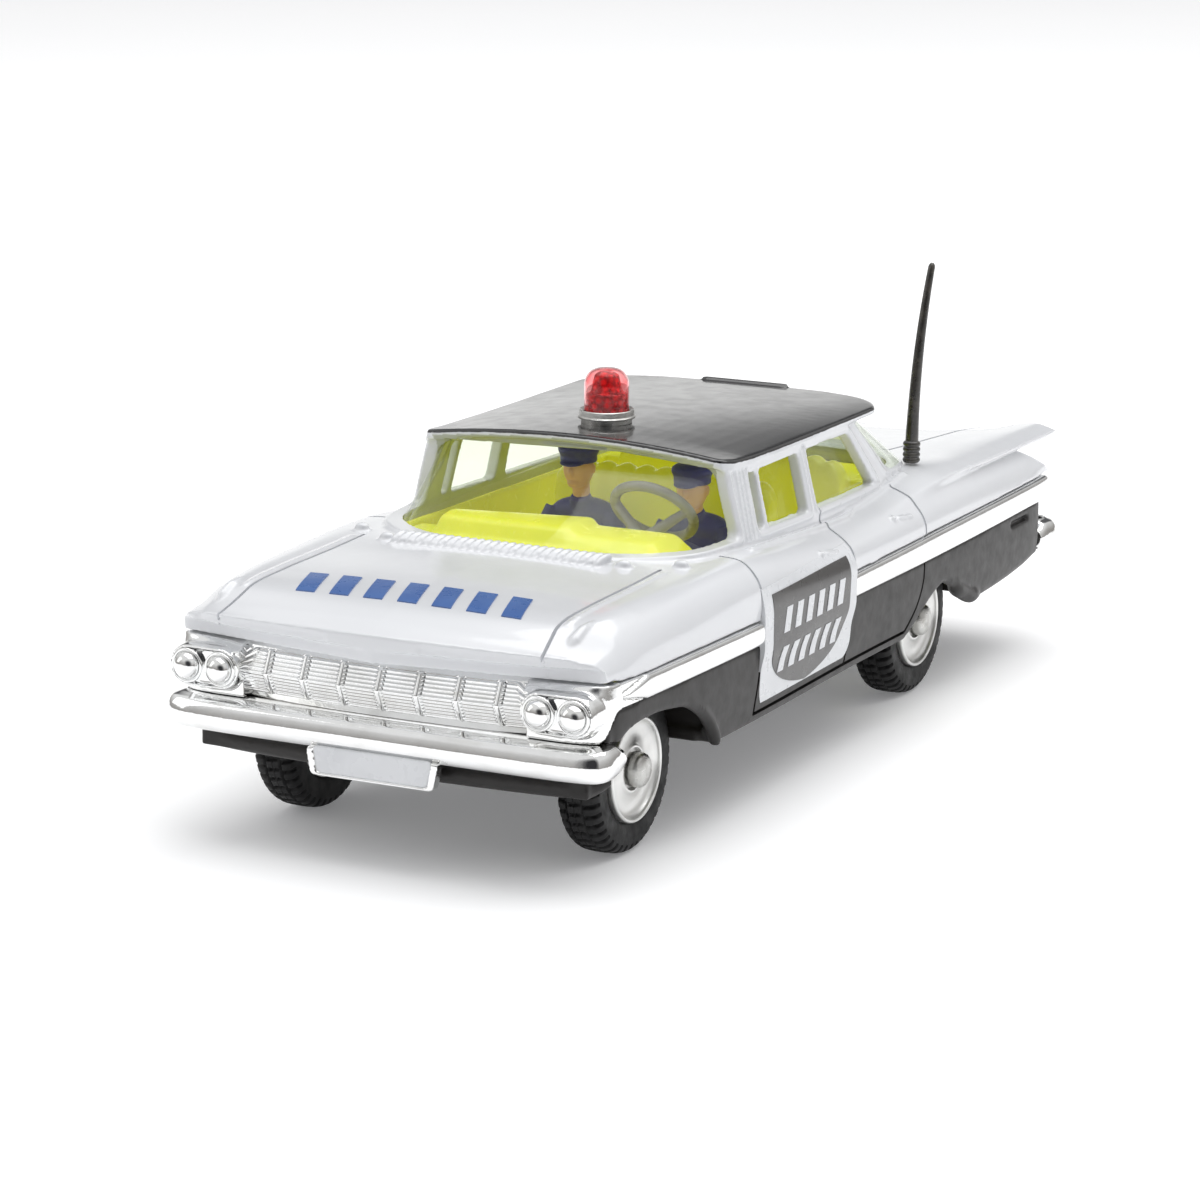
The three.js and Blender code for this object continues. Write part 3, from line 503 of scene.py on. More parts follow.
def beacon_core():
    core = Finish("beacon core", (0.92, 0.012, 0.022), Subsurface_Weight=0.25, Subsurface_Scale=0.003,
                  Coat_Weight=0.8, Coat_Roughness=0.08)
    core.tint(core.ranged(core.cells(1700), 0.25, 0.7), (0.32, 0.0, 0.006))
    core.sheen(1400, 3, (0.3, 0.7), (0.12, 0.4))
    core.bump(core.cells(1900), 0.00022, 0.8)
    return core.material


# ---- Body surface, as the frame has it ----
spear_top = curve([(-51, 18.2), (-33, 18.0), (-21, 17.85), (5, 18.0), (21, 18.2), (51, 18.4)])
spear_bottom = curve([(-51, 15.8), (-21, 15.5), (18, 15.4), (51, 15.75)])
side_x = curve([(-51, 21.0), (-45, 21.3), (-22, 21.6), (0, 21.3), (16, 21.4), (45, 21.3), (52, 20.9)])

# Lines that run the length of the body, from its middle down to the parting line: x and z along y.
BODY = [
    (lambda y: 0.0 * y,
     curve([(-54.2, 21.0), (-53.6, 21.3), (-52.1, 22.0), (-49.2, 22.85), (-43.7, 23.3), (-34.5, 23.55),
            (-28, 23.9), (20, 23.6), (35, 22.8), (45, 22.1), (54, 21.1)])),
    (lambda y: 8 + 0.0 * y,
     curve([(-54.2, 20.95), (-53.6, 21.2), (-52.1, 21.85), (-49.2, 22.75), (-43.7, 23.2), (-34.5, 23.45),
            (-28, 23.8), (20, 23.65), (35, 22.95), (45, 22.35), (54, 21.5)])),
    (curve([(-54.2, 15.6), (-30, 15.9), (10, 15), (30, 14.1), (54, 13.4)]),
     curve([(-54.2, 20.85), (-53.6, 21.0), (-52, 21.6), (-49.1, 22.6), (-44, 22.95), (-35, 23.15),
            (-25, 23.4), (0, 23.0), (17, 23.3), (24, 23.5), (33, 23.1), (40, 22.9), (47, 22.6), (54, 21.9)])),
    (curve([(-54.2, 17.8), (-22, 18.3), (0, 18.0), (30, 17.8), (54, 18.0)]),
     curve([(-54.2, 20.7), (-53.4, 20.85), (-51.9, 21.4), (-49, 22.4), (-44, 22.9), (-35, 23.15),
            (-22, 23.3), (-14, 22.8), (0, 22.05), (10, 21.95), (17, 22.5), (24, 23.1), (33, 22.9),
            (43, 22.8), (54, 22.7)])),
    (curve([(-54.2, 18.8), (-50, 19.4), (-22, 19.5), (0, 19.3), (17, 19.5), (26, 19.9), (34, 20.2),
            (54, 20.3)]),
     curve([(-54.2, 20.5), (-53, 20.7), (-51, 21.15), (-49, 21.7), (-44, 22.3), (-35, 22.8), (-22, 23.1),
            (-10, 22.1), (0, 21.35), (10, 21.35), (17, 21.8), (26, 22.3), (34, 22.35), (43, 22.2),
            (54, 22.1)])),
    (curve([(-54.2, 20), (-50, 20.3), (-22, 20.5), (0, 20.1), (17, 20.2), (26, 19.9), (34, 19.6),
            (43, 19.4), (54, 19.3)]),
     curve([(-54.2, 20.25), (-53, 20.4), (-51, 20.6), (-49, 21.0), (-44, 21.6), (-35, 22.1), (-22, 22.4),
            (-10, 21.4), (0, 20.8), (10, 20.75), (17, 21.0), (26, 21.4), (34, 21.5), (43, 21.5),
            (54, 21.4)])),
    (curve([(-54.2, 20.5), (-50, 20.9), (-35, 21.2), (-22, 21.4), (0, 20.8), (16, 20.9), (34, 20.7),
            (54, 20.2)]),
     curve([(-54.2, 19.8), (-53, 19.8), (-51, 19.8), (-44, 20.5), (-22, 21.1), (-10, 20.4), (0, 20.1),
            (16, 20.1), (34, 20.3), (54, 20.1)])),
    (curve([(-54.2, 20.8), (-50, 21.2), (-22, 21.7), (0, 21.2), (16, 21.3), (34, 21.15), (54, 20.8)]),
     curve([(-54.2, 19.3), (-53, 19.15), (-51, 18.9), (-44, 19.2), (-22, 19.5), (0, 19.1), (34, 19.3),
            (54, 19.3)])),
    (side_x,
     curve([(-54.2, 18.62), (-52.6, 18.5), (-50.7, 18.2), (-33, 18.0), (-21, 17.85),
            (5, 18.0), (21, 18.2), (52, 18.4)])),
]
NOSE_Y, TAIL_Y = -54.2, 54.0
NOSE_MIDDLE_Z = 19.8
EDGE_LINE = 4  # the shoulder's edge, which becomes the wing's
STEPS = 6  # points between neighbouring lines
WALL = 1.2


def body_half(y, inset=0.0):
    """Points (x, z) of half the section at each y, from the middle of the top to the parting line."""
    y = np.asarray(y, float)
    lines = np.stack([np.stack([x(y), z(y)], -1) for x, z in BODY])
    lines[..., 0] -= inset * np.minimum(lines[..., 0] / 15, 1)
    lines[..., 1] -= inset
    crease = np.zeros(lines.shape[:2] + (1,))
    crease[0] = np.where(y < -29, 1, 0)[:, None]
    crease[2] = (0.3 + 0.5 * ease(y, 20, 34))[:, None]
    crease[EDGE_LINE] = ease(y, 8, 28)[:, None]
    crease[EDGE_LINE + 1] = 0.5 * ease(y, 12, 30)[:, None]
    return spline(lines, STEPS, crease)


def outward(line):
    """Unit vectors that point to the right of a flat line."""
    ahead = np.gradient(line, axis=0)
    ahead /= np.linalg.norm(ahead, axis=1, keepdims=True)
    return np.stack([ahead[:, 1], -ahead[:, 0]], -1)


def spread(y, rings):
    """The position y of each ring, repeated for all of its points."""
    return np.broadcast_to(y[:, None], rings.shape[:2])


def whole(half):
    """Rings of (x, z) from half sections that start and end at x = 0."""
    ring = np.concatenate([half, half[-2:0:-1] * [-1, 1]])
    return np.swapaxes(ring, 0, 1)


def nose_back(x, y):
    """How far the nose's plan curves back at a place."""
    return (0.0035 * x * x + 1.8 * (np.abs(x) / 21) ** 10) * np.clip((-42 - y) / 10, 0, 1)


def tail_forward(x, y):
    """How far the tail's plan curves forward at a place."""
    return 1.8 * (np.abs(x) / 21) ** 8 * np.clip((y - 44) / 8, 0, 1)


def body_loft(rows, inset=0.0):
    """The body without its cabin, solid, through sections at rows. An inset makes it smaller all round."""
    y = np.asarray(rows, float)
    half = body_half(y, inset)
    low = half[-1].copy()
    low[:, 0] *= 0.98
    low[:, 1] -= 3 if inset > 0.6 else 0.02
    middle = low * [0, 1]
    ring = whole(np.concatenate([half, low[None], middle[None]]))
    if inset == 0:
        # Rings that shrink to a line close the nose with an even face.
        face = [ring[0] * [1, share] + [0, NOSE_MIDDLE_Z * (1 - share)] for share in (0.02, 0.35, 0.7)]
        ring = np.concatenate([face, ring])
        y = np.concatenate([y[[0, 0, 0]], y])
    x, z = ring[..., 0], ring[..., 1]
    along = spread(y, ring)
    along = along + nose_back(x, along) - tail_forward(x, along)
    return loft("body", np.stack([x, along, z], -1))


def stations(*spans):
    """Positions in a row: (start, end, gap) for each stretch."""
    parts = [np.arange(start, end, gap) for start, end, gap in spans]
    return np.concatenate(parts + [[spans[-1][1]]])


TAIL_SLOPE = spline([(43.6, 21.9), (46.5, 20.8), (49.7, 19.1), (51.2, 17.9), (52, 16.9)], 4)


def tail_space(dy, dz):
    """The space behind and under the sloping tail, moved by dy and dz."""
    slope = TAIL_SLOPE + [dy, dz]
    return prism([*slope, (60, 16.9 + dz), (60, 24), (43.6 + dy, 24)], 0, -24, 24)


def wings():
    """The thin deck and wings that overhang the tail."""
    y = stations((31, 50, 1.0), (50, 53.6, 0.4), (53.6, TAIL_Y, 0.1))
    top = body_half(y)[:EDGE_LINE * STEPS + 1]
    share = np.linspace(0, 1, len(top))[:, None]
    close = ease(y, 53.2, 54.1)[None, :]
    thickness = (0.9 - 0.45 * ease(share, 0.85, 1)) * (1 - 0.75 * close)
    under = np.stack([top[..., 0] - 0.1 * share, top[..., 1] - thickness], -1)[::-1]
    ring = whole(np.concatenate([top, under]))
    x = ring[..., 0]
    forward = 1.6 * (1 - (x / 20.3) ** 2) * np.clip((y[:, None] - 46) / 8, 0, 1)
    return loft("wings", np.stack([x, y[:, None] - forward, ring[..., 1]], -1))


# ---- Cabin surface ----
BELT_Z, HEADER_Z = 23.2, 30.4
# (belt x, belt y, roof x, roof y) from the middle of the windscreen round to the middle of the backlight.
CABIN = np.array([
    (0, -30.3, 0, -17.6), (5, -30.2, 4.8, -17.6), (10, -29.6, 9.6, -17.5), (13.6, -27.4, 12.8, -17.4),
    (16.2, -24.0, 14.8, -17.2), (17.1, -18.4, 15.4, -16.8), (17.5, -13.5, 15.75, -13.3),
    (17.55, -12.0, 15.8, -11.6), (17.55, -11.3, 15.8, -11.0), (17.5, -2.4, 15.85, -2.5),
    (17.5, -0.35, 15.85, -0.65), (17.1, 13.9, 15.7, 8.4), (16.7, 17.2, 15.6, 9.6), (15.9, 23.6, 15.4, 11.2),
    (13.5, 26.6, 13.2, 13.6), (8, 28.2, 8, 15.2), (0, 28.6, 0, 15.6)])
VENT, FRONT_DOOR, REAR_DOOR = (6, 7), (8, 9), (10, 11)  # the lines that side windows stand between
CABIN_STEPS = 8  # points between neighbouring lines
HALF_CABIN = spline(CABIN, CABIN_STEPS)
WHOLE_CABIN = np.concatenate([HALF_CABIN, HALF_CABIN[-2:0:-1] * [-1, 1, -1, 1]])

roof_middle = curve([(-17.6, 32.1), (-10, 32.05), (0, 31.8), (10, 31.35), (20.3, 30.8)])
roof_edge = curve([(-17.6, 31.0), (-13, 30.75), (0, 30.6), (20.3, 30.6)])
roof_half = curve([(-17.6, 14.6), (-17.2, 15.4), (-15.5, 16), (0, 16.1), (14, 16.15), (16, 15.9),
                   (18.2, 14.2), (19.6, 11.4), (20.3, 7)])
ROOF_THICKNESS = 0.85


def roof_top(x, y):
    """Height of the crowned roof."""
    crown = 1 - np.minimum(np.abs(x) / 16.1, 1) ** 2
    return roof_edge(y) + (roof_middle(y) - roof_edge(y)) * crown


def roof():
    y = stations((-17.6, -17, 0.08), (-17, -15, 0.4), (-15, 14, 1.5), (14, 19.6, 0.3), (19.6, 20.3, 0.08))
    width = roof_half(y)
    end = np.minimum(y + 17.6, 20.3 - y)
    drop = 0.28 * (1 - np.clip(end / 0.3, 0, 1)) ** 2
    rows = []
    for share in np.concatenate([np.linspace(0, 0.9, 10), [0.94, 0.97, 0.985]]):
        rows.append((share * width, roof_top(share * width, y) - drop))
    rim = roof_top(width, y)
    for inward, down in ((0.06, 0.08), (0, 0.25), (0.02, 0.5), (0.15, 0.7)):
        rows.append((width - inward, rim - down))
    for share in (0.93, 0.6, 0.3, 0):
        rows.append((share * width, roof_top(share * width, y) - ROOF_THICKNESS + drop))
    ring = whole(np.array(rows).transpose(0, 2, 1))
    return loft("roof", np.stack([ring[..., 0], spread(y, ring), ring[..., 1]], -1))


def cabin_points(lines, height):
    """Points on the cabin's wall. The height is a number, or a function of the roof outline's x and y."""
    lines = np.asarray(lines)
    z = height(lines[:, 2], lines[:, 3]) if callable(height) else np.broadcast_to(float(height), len(lines))
    t = np.maximum((z - BELT_Z) / (HEADER_Z - BELT_Z), 0)[:, None]
    return np.concatenate([lines[:, :2] + (lines[:, 2:] - lines[:, :2]) * t, z[:, None]], 1)


def under_roof(gap):
    return lambda x, y: roof_top(x, y) - ROOF_THICKNESS - gap


def cabin_ring(height, outset):
    """The cabin's outline at a height, grown by about outset on every side."""
    ring = cabin_points(WHOLE_CABIN, height)
    middle = (ring[:, 1].min() + ring[:, 1].max()) / 2
    grow_x = 1 + outset / ring[:, 0].max()
    grow_y = 1 + outset / (ring[:, 1].max() - middle)
    return np.stack([ring[:, 0] * grow_x, middle + (ring[:, 1] - middle) * grow_y, ring[:, 2]], -1)


def cabin_loft(bottom, top, outset):
    heights = [bottom, BELT_Z, top] if bottom < BELT_Z else [bottom, top]
    return loft("cabin", [cabin_ring(height, outset) for height in heights])


# Distance round the wall from the middle of the windscreen, measured half way up.
MIDDLE_LINE = cabin_points(HALF_CABIN, 27.0)[:, :2]
ROUND = np.concatenate([[0], np.cumsum(np.linalg.norm(np.diff(MIDDLE_LINE, axis=0), axis=1))])
HALF_WAY = ROUND[-1]


def round_at(line):
    """How far round the wall a line of CABIN stands. A fraction is part of the way to the next."""
    return np.interp(line * CABIN_STEPS, np.arange(len(ROUND)), ROUND)


def wall(places, out=0.0):
    """Points on the cabin wall from (distance round, height) pairs, moved outwards by out."""
    places = np.asarray(places, float)
    distance = (places[:, 0] + HALF_WAY) % (2 * HALF_WAY) - HALF_WAY
    side = np.where(distance < 0, -1, 1)

    def at(d):
        d = np.abs(d)
        lines = np.stack([np.interp(d, ROUND, axis) for axis in HALF_CABIN.T], -1)
        t = np.maximum((places[:, 1] - BELT_Z) / (HEADER_Z - BELT_Z), 0)[:, None]
        return lines[:, :2] + (lines[:, 2:] - lines[:, :2]) * t

    here = at(distance)
    low, high = np.maximum(np.abs(distance) - 0.2, 0), np.minimum(np.abs(distance) + 0.2, HALF_WAY)
    along = at(high) - at(low)
    along /= np.linalg.norm(along, axis=1, keepdims=True)
    normal = np.stack([along[:, 1], -along[:, 0]], -1)
    normal[np.abs(distance) < 0.3] = [0, -1]
    normal[np.abs(distance) > HALF_WAY - 0.3] = [0, 1]
    flat = here + normal * out
    return np.stack([flat[:, 0] * side, flat[:, 1], places[:, 1]], -1)


def wall_cutter(outline):
    return loft("window", [wall(outline, -2.6), wall(outline, 2.2)])


def bead_on_wall(outline, radius, out, loop=True):
    return tube(wall(outline, out), radius, 8, loop)


def header_z(distance):
    """Height of the roof's underside over a place round the wall."""
    place = wall(np.stack([distance, np.full_like(distance, HEADER_Z)], -1))
    return roof_top(place[:, 0], place[:, 1]) - ROOF_THICKNESS


def band(start, end, low, high, radius):
    """A window's outline between two places round the wall. low and high are (start, end) heights."""
    corners = [(start, low[0]), (end, low[1]), (end, high[1]), (start, high[0])]
    return rounded(corners, radius)


def screen(edge_low, edge_high, sill, gap, back):
    """The outline of the windscreen's or backlight's opening, whose top follows the roof."""
    centre = HALF_WAY if back else 0.0
    low, high = (abs(centre - round_at(edge)) for edge in (edge_low, edge_high))
    bottom, top = np.linspace(-low, low, 31), np.linspace(high, -high, 31)
    head = header_z(np.abs(centre - np.abs(top))) - gap
    corners = np.concatenate([np.stack([bottom, np.full(31, sill)], -1), np.stack([top, head], -1)])
    return rounded(corners, 0.8, 0.45) + [centre, 0]


def screen_cutter(edge_low, edge_high, sill, gap, back, corner=0.9):
    """A curved slab as large as the opening that screen outlines, which follows the wall round."""
    centre = HALF_WAY if back else 0.0
    low, high = (abs(centre - round_at(edge)) for edge in (edge_low, edge_high))
    rings = []
    for t in np.concatenate([np.linspace(0, 0.18, 7), np.linspace(0.3, 0.7, 4), np.linspace(0.82, 1, 7)]):
        near_end = np.clip(1 - 5.6 * min(t, 1 - t) / corner, 0, 1)
        reach = low + (high - low) * t - corner * (1 - math.sqrt(1 - near_end ** 2))
        distance = np.linspace(-reach, reach, 61)
        head = header_z(np.abs(centre - np.abs(distance))) - gap
        places = np.stack([centre + distance, sill + t * (head - sill)], -1)
        rings.append(np.concatenate([wall(places, 2.2), wall(places, -2.6)[::-1]]))
    return loft("screen", rings)


WINDSCREEN = (5.28, 5.0, 23.85, 0.05, False)
BACKLIGHT = (12.3, 12.6, 23.9, 0.1, True)
SIDE_WINDOWS = [
    band(round_at(VENT[0]), round_at(VENT[1]), (24.1, 24.05), (29.2, 29.2), 0.35),
    band(round_at(FRONT_DOOR[0]), round_at(FRONT_DOOR[1]), (23.95, 23.65), (29.25, 29.25), 0.5),
    band(round_at(REAR_DOOR[0]), round_at(REAR_DOOR[1]), (23.65, 23.4), (29.25, 29.0), 0.5),
]


# ---- Upper body ----
BODY_Y = stations((-54.2, -53, 0.1), (-53, -46, 0.35), (-46, 44, 1.0), (44, 53, 0.5))
GROOVE_DEPTH, GROOVE_WIDTH, DOOR_GAP = 0.6, 0.34, 0.38
DOOR_YS = (-21.8, -0.3, 16.6)
HOOD_EDGE_X = 15.2
BOOT_EDGE_Y = 30.5


def both(make):
    return [make(1), make(-1)]


def thick_line(path, width):
    """The outline of a stroke of a width along a flat path."""
    path = np.asarray(path, float)
    side = outward(path) * width / 2
    return np.concatenate([path + side, (path - side)[::-1]])


def upper_grooves():
    """Door gaps, the bonnet's side gaps and the boot lid's gap, as cutters of an even depth."""
    hood = spline([(HOOD_EDGE_X + 1.1, -55.5), (HOOD_EDGE_X + 0.8, -53), (HOOD_EDGE_X + 0.15, -49.5),
                   (HOOD_EDGE_X, -40), (HOOD_EDGE_X, -29.2)], 8)
    boot = [(11.2, BOOT_EDGE_Y), (11.6, 36), (12.2, 44), (12.4, 56)]
    lid = [(-11.3, BOOT_EDGE_Y), (11.3, BOOT_EDGE_Y)]
    doors = [block(*sorted((side * 17.3, side * 24)), y - DOOR_GAP / 2, y + DOOR_GAP / 2, 16, 23.7)
             for y in DOOR_YS for side in (1, -1)]
    paths = [np.array(path) * [side, 1] for path in (hood, boot) for side in (1, -1)] + [lid]
    lines = [prism(thick_line(resample(path, 2), GROOVE_WIDTH), 2, 18, 26) for path in paths]
    sheet = boolean(doors[0], "UNION", doors[1:] + lines)
    return boolean(sheet, "DIFFERENCE", [body_loft(BODY_Y, GROOVE_DEPTH)])


def nose_slots():
    """The long shallow recesses with round ends in the face of the nose."""

    def slot(side):
        x = np.linspace(4.4, 19.3, 40)
        face = NOSE_Y + nose_back(x, np.full_like(x, NOSE_Y))
        line = np.stack([side * x, face - 0.95, 20.1 - 0.1 * ease(x, 12, 19)], -1)
        radius = 0.95 + 0.25 * np.sqrt(np.clip(1 - np.linspace(-1, 1, 40) ** 20, 0, 1))
        return tube(line, radius, 20)

    return both(slot)


def surface_z(x, y):
    """Height of the upper body at a place seen from above."""
    half = body_half(np.atleast_1d(np.asarray(y, float))).transpose(1, 0, 2)
    return np.array([np.interp(abs(px), h[:, 0], h[:, 1]) for px, h in zip(np.atleast_1d(x), half)])


def surface_x(y, z):
    """Half width of the upper body at a place seen from the side."""
    half = body_half(np.atleast_1d(np.asarray(y, float))).transpose(1, 0, 2)
    start = 3 * STEPS
    return np.array([np.interp(pz, h[start:, 1][::-1], h[start:, 0][::-1])
                     for pz, h in zip(np.atleast_1d(z), half)])


def on_top(x, y, lift=0.0):
    """Points on the upper body over places seen from above, raised by lift."""
    x, y = np.broadcast_arrays(np.asarray(x, float), np.asarray(y, float))
    return np.stack([x, y + nose_back(x, y), surface_z(x, y) + lift], -1)


def cowl_beads():
    """The row of short ribs of the air intake below the windscreen, and the washer jets beside it."""
    beads = []
    for x in np.arange(-10.6, 10.7, 0.8):
        y = np.linspace(-32.0, -29.7, 6)
        line = np.stack([x + 0.25 * (y + 30.8), y, [23.35, 23.75, 24.0, 24.15, 24.2, 24.15]], -1)
        beads.append(tube(line, [0.16, 0.32, 0.36, 0.36, 0.34, 0.3], 8))
    beads += [dome((side * x, y, z), (0.75, 0.55, 0.42), rows=10, segments=16)
              for x, y, z in ((12.1, -30.4, 23.75), (16.4, -27.6, 23.65)) for side in (1, -1)]
    return beads


def wing_darts():
    """Raised arrowheads on the front wings."""

    def dart(side):
        y = np.linspace(-52.2, -47.2, 12)
        line = on_top(side * (17.4 + 0.04 * (y + 52)), y)
        return tube(line, np.interp(y, [-52.2, -51.4, -49.5, -47.2], [0.12, 0.5, 0.42, 0.05]), 10)

    return both(dart)


def bonnet_ridges():
    """The fine raised line outside each bonnet gap."""
    y = np.linspace(-49.5, -30, 60)
    return both(lambda side: tube(on_top(side * (HOOD_EDGE_X + 0.75), y, -0.06), 0.24, 8))


def door_handles():
    """Push-button pull handles: a bead with a slim bar behind it."""
    parts = []
    for start in (-6.6, 10.9):
        y = np.linspace(start, start + 3.6, 12)
        z = np.linspace(20.75, 20.45, 12)
        line = np.stack([surface_x(y, z) + 0.06, y, z], -1)
        thickness = np.interp(y[3:] - start, [0.9, 1.4, 3.6], [0.16, 0.24, 0.14])
        bar = tube(line[3:], thickness, 8)
        button = dome(line[0] + [0.02, 0, 0], (0.34, 0.4, 0.4), rows=10, segments=16)
        parts += [bar, button, copied(bar, MIRROR), copied(button, MIRROR)]
    return parts


def cabin_frames():
    """Raised frames round the openings, ribs on the screen pillars and the gutter under the roof."""
    door = band(round_at(5.95), round_at(9.35), (23.55, 23.25), (29.75, 29.75), 0.6)
    rear = band(round_at(9.72), round_at(11.35), (23.3, 23.05), (29.75, 29.5), 0.6)
    flip = [-1, 1]
    lines = [door, door * flip, rear, rear * flip]
    parts = [bead_on_wall(line, 0.2, -0.02) for line in lines]
    parts.append(bead_on_wall(screen(5.38, 5.16, 23.65, -0.1, False), 0.24, 0.0))
    parts.append(bead_on_wall(screen(12.1, 12.3, 23.6, -0.1, True), 0.2, -0.05))
    for line in (5.5, 5.66, 5.82):
        rib = np.stack([np.full(12, round_at(line)), np.linspace(23.6, 30.2, 12)], -1)
        parts += [bead_on_wall(rib * sign, 0.2, 0.02, False) for sign in ([1, 1], flip)]
    gutter = np.stack([np.linspace(round_at(5.0), round_at(12.6), 90), np.full(90, 30.05)], -1)
    parts += [bead_on_wall(gutter * sign, 0.2, 0.12, False) for sign in ([1, 1], flip)]
    return parts


def belt_beads():
    """The ledge under the side windows, which turns inwards over the rear door."""
    y = stations((-17, 21, 0.6))
    z = surface_z(np.interp(y, [-17, 4, 8, 21], [18.1, 17.95, 17.6, 17.0]), y)
    x = np.interp(y, [-17, 4.5, 7.5, 21], [18.15, 18.05, 17.45, 16.9])
    line = np.stack([x, y, z + 0.02], -1)
    return both(lambda side: tube(line * [side, 1, 1], 0.3, 10))


def upper_body():
    """The white shell with its roof: one casting, hollow, with openings, raised work and gaps."""
    shell = boolean(body_loft(BODY_Y), "DIFFERENCE", [tail_space(0, 0)])
    cabin = cabin_loft(21.2, under_roof(-0.3), 0)
    boolean(shell, "UNION", [wings(), roof(), cabin])
    inner_y = stations((-51.4, -46, 0.6), (-46, 49, 1.5))
    hollow = boolean(body_loft(inner_y, WALL), "DIFFERENCE", [tail_space(-1.4, -0.6)])
    side_holes = [wall_cutter(outline * sign) for outline in SIDE_WINDOWS for sign in ([1, 1], [-1, 1])]
    boolean(shell, "DIFFERENCE", [hollow, cabin_loft(19, under_roof(0.05), -WALL)])
    boolean(shell, "DIFFERENCE", [screen_cutter(*WINDSCREEN), screen_cutter(*BACKLIGHT), *side_holes])
    boolean(shell, "DIFFERENCE", nose_slots())
    strip = prism(rounded([(-4.7, 19.75), (4.7, 19.75), (4.7, 20.3), (-4.7, 20.3)], 0.2), 2, 30.4, 31.1)
    raised = [cowl_beads(), wing_darts(), bonnet_ridges(), door_handles(), cabin_frames(), belt_beads()]
    body = soften(together("body", [shell, strip, *sum(raised, [])]), FINE, 5)
    boolean(body, "DIFFERENCE", [upper_grooves()])
    p = coordinates(body)
    x, y, z = p.T
    in_plan = (y > -17.75) & (y < 20.4) & (np.abs(x) < roof_half(y) + 0.2)
    mark(body, "roof", np.where(in_plan, ease(z - roof_top(x, y), -0.42, -0.18), 0))
    # Where the paint lays its painted shade and painted green reflection: inner faces under the roof and the
    # sill below the windscreen.
    inside = (np.abs(x) < 14.6) & (y > -26.8 + 0.011 * x * x) & (y < 26)
    under = (z < roof_top(x, y) - 0.5) & (z > 24)
    mark(body, "inside", (inside & under).astype(float))
    return piece(body, "upper_body_shell", white_paint(), replaces=["upper_body"], crisp=50)


# ---- Lower body ----
FLOOR_BOTTOM = 8.3
FRONT_AXLE_Y, REAR_AXLE_Y, AXLE_Z = -38.5, 24.25, 7.64
BUMP_TRAVEL = 1.0
lower_bottom = curve([(-51.8, 8.2), (-34, FLOOR_BOTTOM), (-29, FLOOR_BOTTOM), (8, FLOOR_BOTTOM),
                      (16, FLOOR_BOTTOM), (31.4, 8.65), (38.9, 8.95), (44.8, 9.45), (48.6, 9.9)])
lower_top = curve([(-51.8, 14.2), (-50.7, 14.9), (-49.4, 15.6), (-21, 15.44), (18, 15.34), (51, 15.69)])
FRONT_ARCH = spline([(-48.7, 13.0), (-46.5, 13.85), (-44.2, 14.1), (-41.5, 14.12), (-39.3, 13.95),
                     (-36.3, 13.5), (-34.5, 12.8), (-32.4, 11.5), (-31.1, 10.2), (-30.1, 8.7),
                     (-29.8, 7.6)], 5)
REAR_ARCH = spline([(12.7, 7.6), (12.9, 8.6), (15.3, 9.8), (17, 10.9), (19.7, 12), (21.7, 12.4),
                    (23.1, 12.1), (24.9, 11.5), (25.8, 10.7), (27.3, 10), (29.3, 9.2), (31.4, 8.9),
                    (31.6, 7.6)], 5)


def lower_loft(grow, rows):
    """The lower body's outside, or with a negative grow a body inside it."""
    y = np.asarray(rows, float)
    x, low, top = side_x(y) + grow, lower_bottom(y) - grow, lower_top(y) + (0.2 if grow == 0 else 6)
    side = [(x - 0.05, top), (x, 13.2 + 0 * y), (x - 0.1, 11.4 + 0 * y), (x - 0.22, 10.2 + 0 * y),
            (x - 0.35, low + 0.55), (x - 0.6, low + 0.15), (x - 1.2, low)]
    flank = spline(np.array(side).transpose(0, 2, 1), 4)
    zero = 0 * y
    ends = [np.stack([zero, top], -1)[None], flank, np.stack([zero, low], -1)[None]]
    ring = whole(np.concatenate(ends))
    px = ring[..., 0]
    along = spread(y, ring)
    front_corner = 1.1 * (np.abs(px) / 21) ** 12 * np.clip((-49 - along) / 2, 0, 1)
    along = along - tail_forward(px, along) + front_corner
    return loft("lower", np.stack([px, along, ring[..., 1]], -1))


def lower_grooves():
    """Door gaps and the sill's gap on the lower flanks."""
    gaps = [[(-21.6, 16), (-22.7, 9.25)], [(-0.35, 16), (-2.2, 9.25)],
            [(16.4, 16), (16.2, 14), (15, 11.7), (13.6, 10.3), (12.2, 9.35)], [(-22.7, 9.35), (12.2, 9.35)]]
    strokes = []
    for gap in gaps:
        outline = thick_line(resample(spline(gap, 6) if len(gap) > 2 else gap, 1.0), GROOVE_WIDTH)
        strokes += [prism(outline, 0, 16, 24), prism(outline, 0, -24, -16)]
    sheet = boolean(strokes[0], "UNION", strokes[1:])
    return boolean(sheet, "DIFFERENCE", [lower_loft(-GROOVE_DEPTH, stations((-51.8, 48.6, 1.5)))])


def arch_cutters():
    """The wheel openings in the flanks, and the room for the wheels behind them."""
    parts = []
    front = [(-60, 7), (-60, 13.3), (-50, 13.3), *FRONT_ARCH, (-29.8, 5), (-60, 5)]
    rear = [*REAR_ARCH, (31.6, 5), (12.7, 5)]
    for side in (1, -1):
        outer, room = sorted((side * 19.3, side * 25)), sorted((side * 12.5, side * 19.9))
        parts += [prism(front, 0, *outer), prism(rear, 0, *outer)]
        parts += [block(*room, axle - 8.8, axle + 8.2, 6, 16) for axle in (FRONT_AXLE_Y, REAR_AXLE_Y)]
    return parts


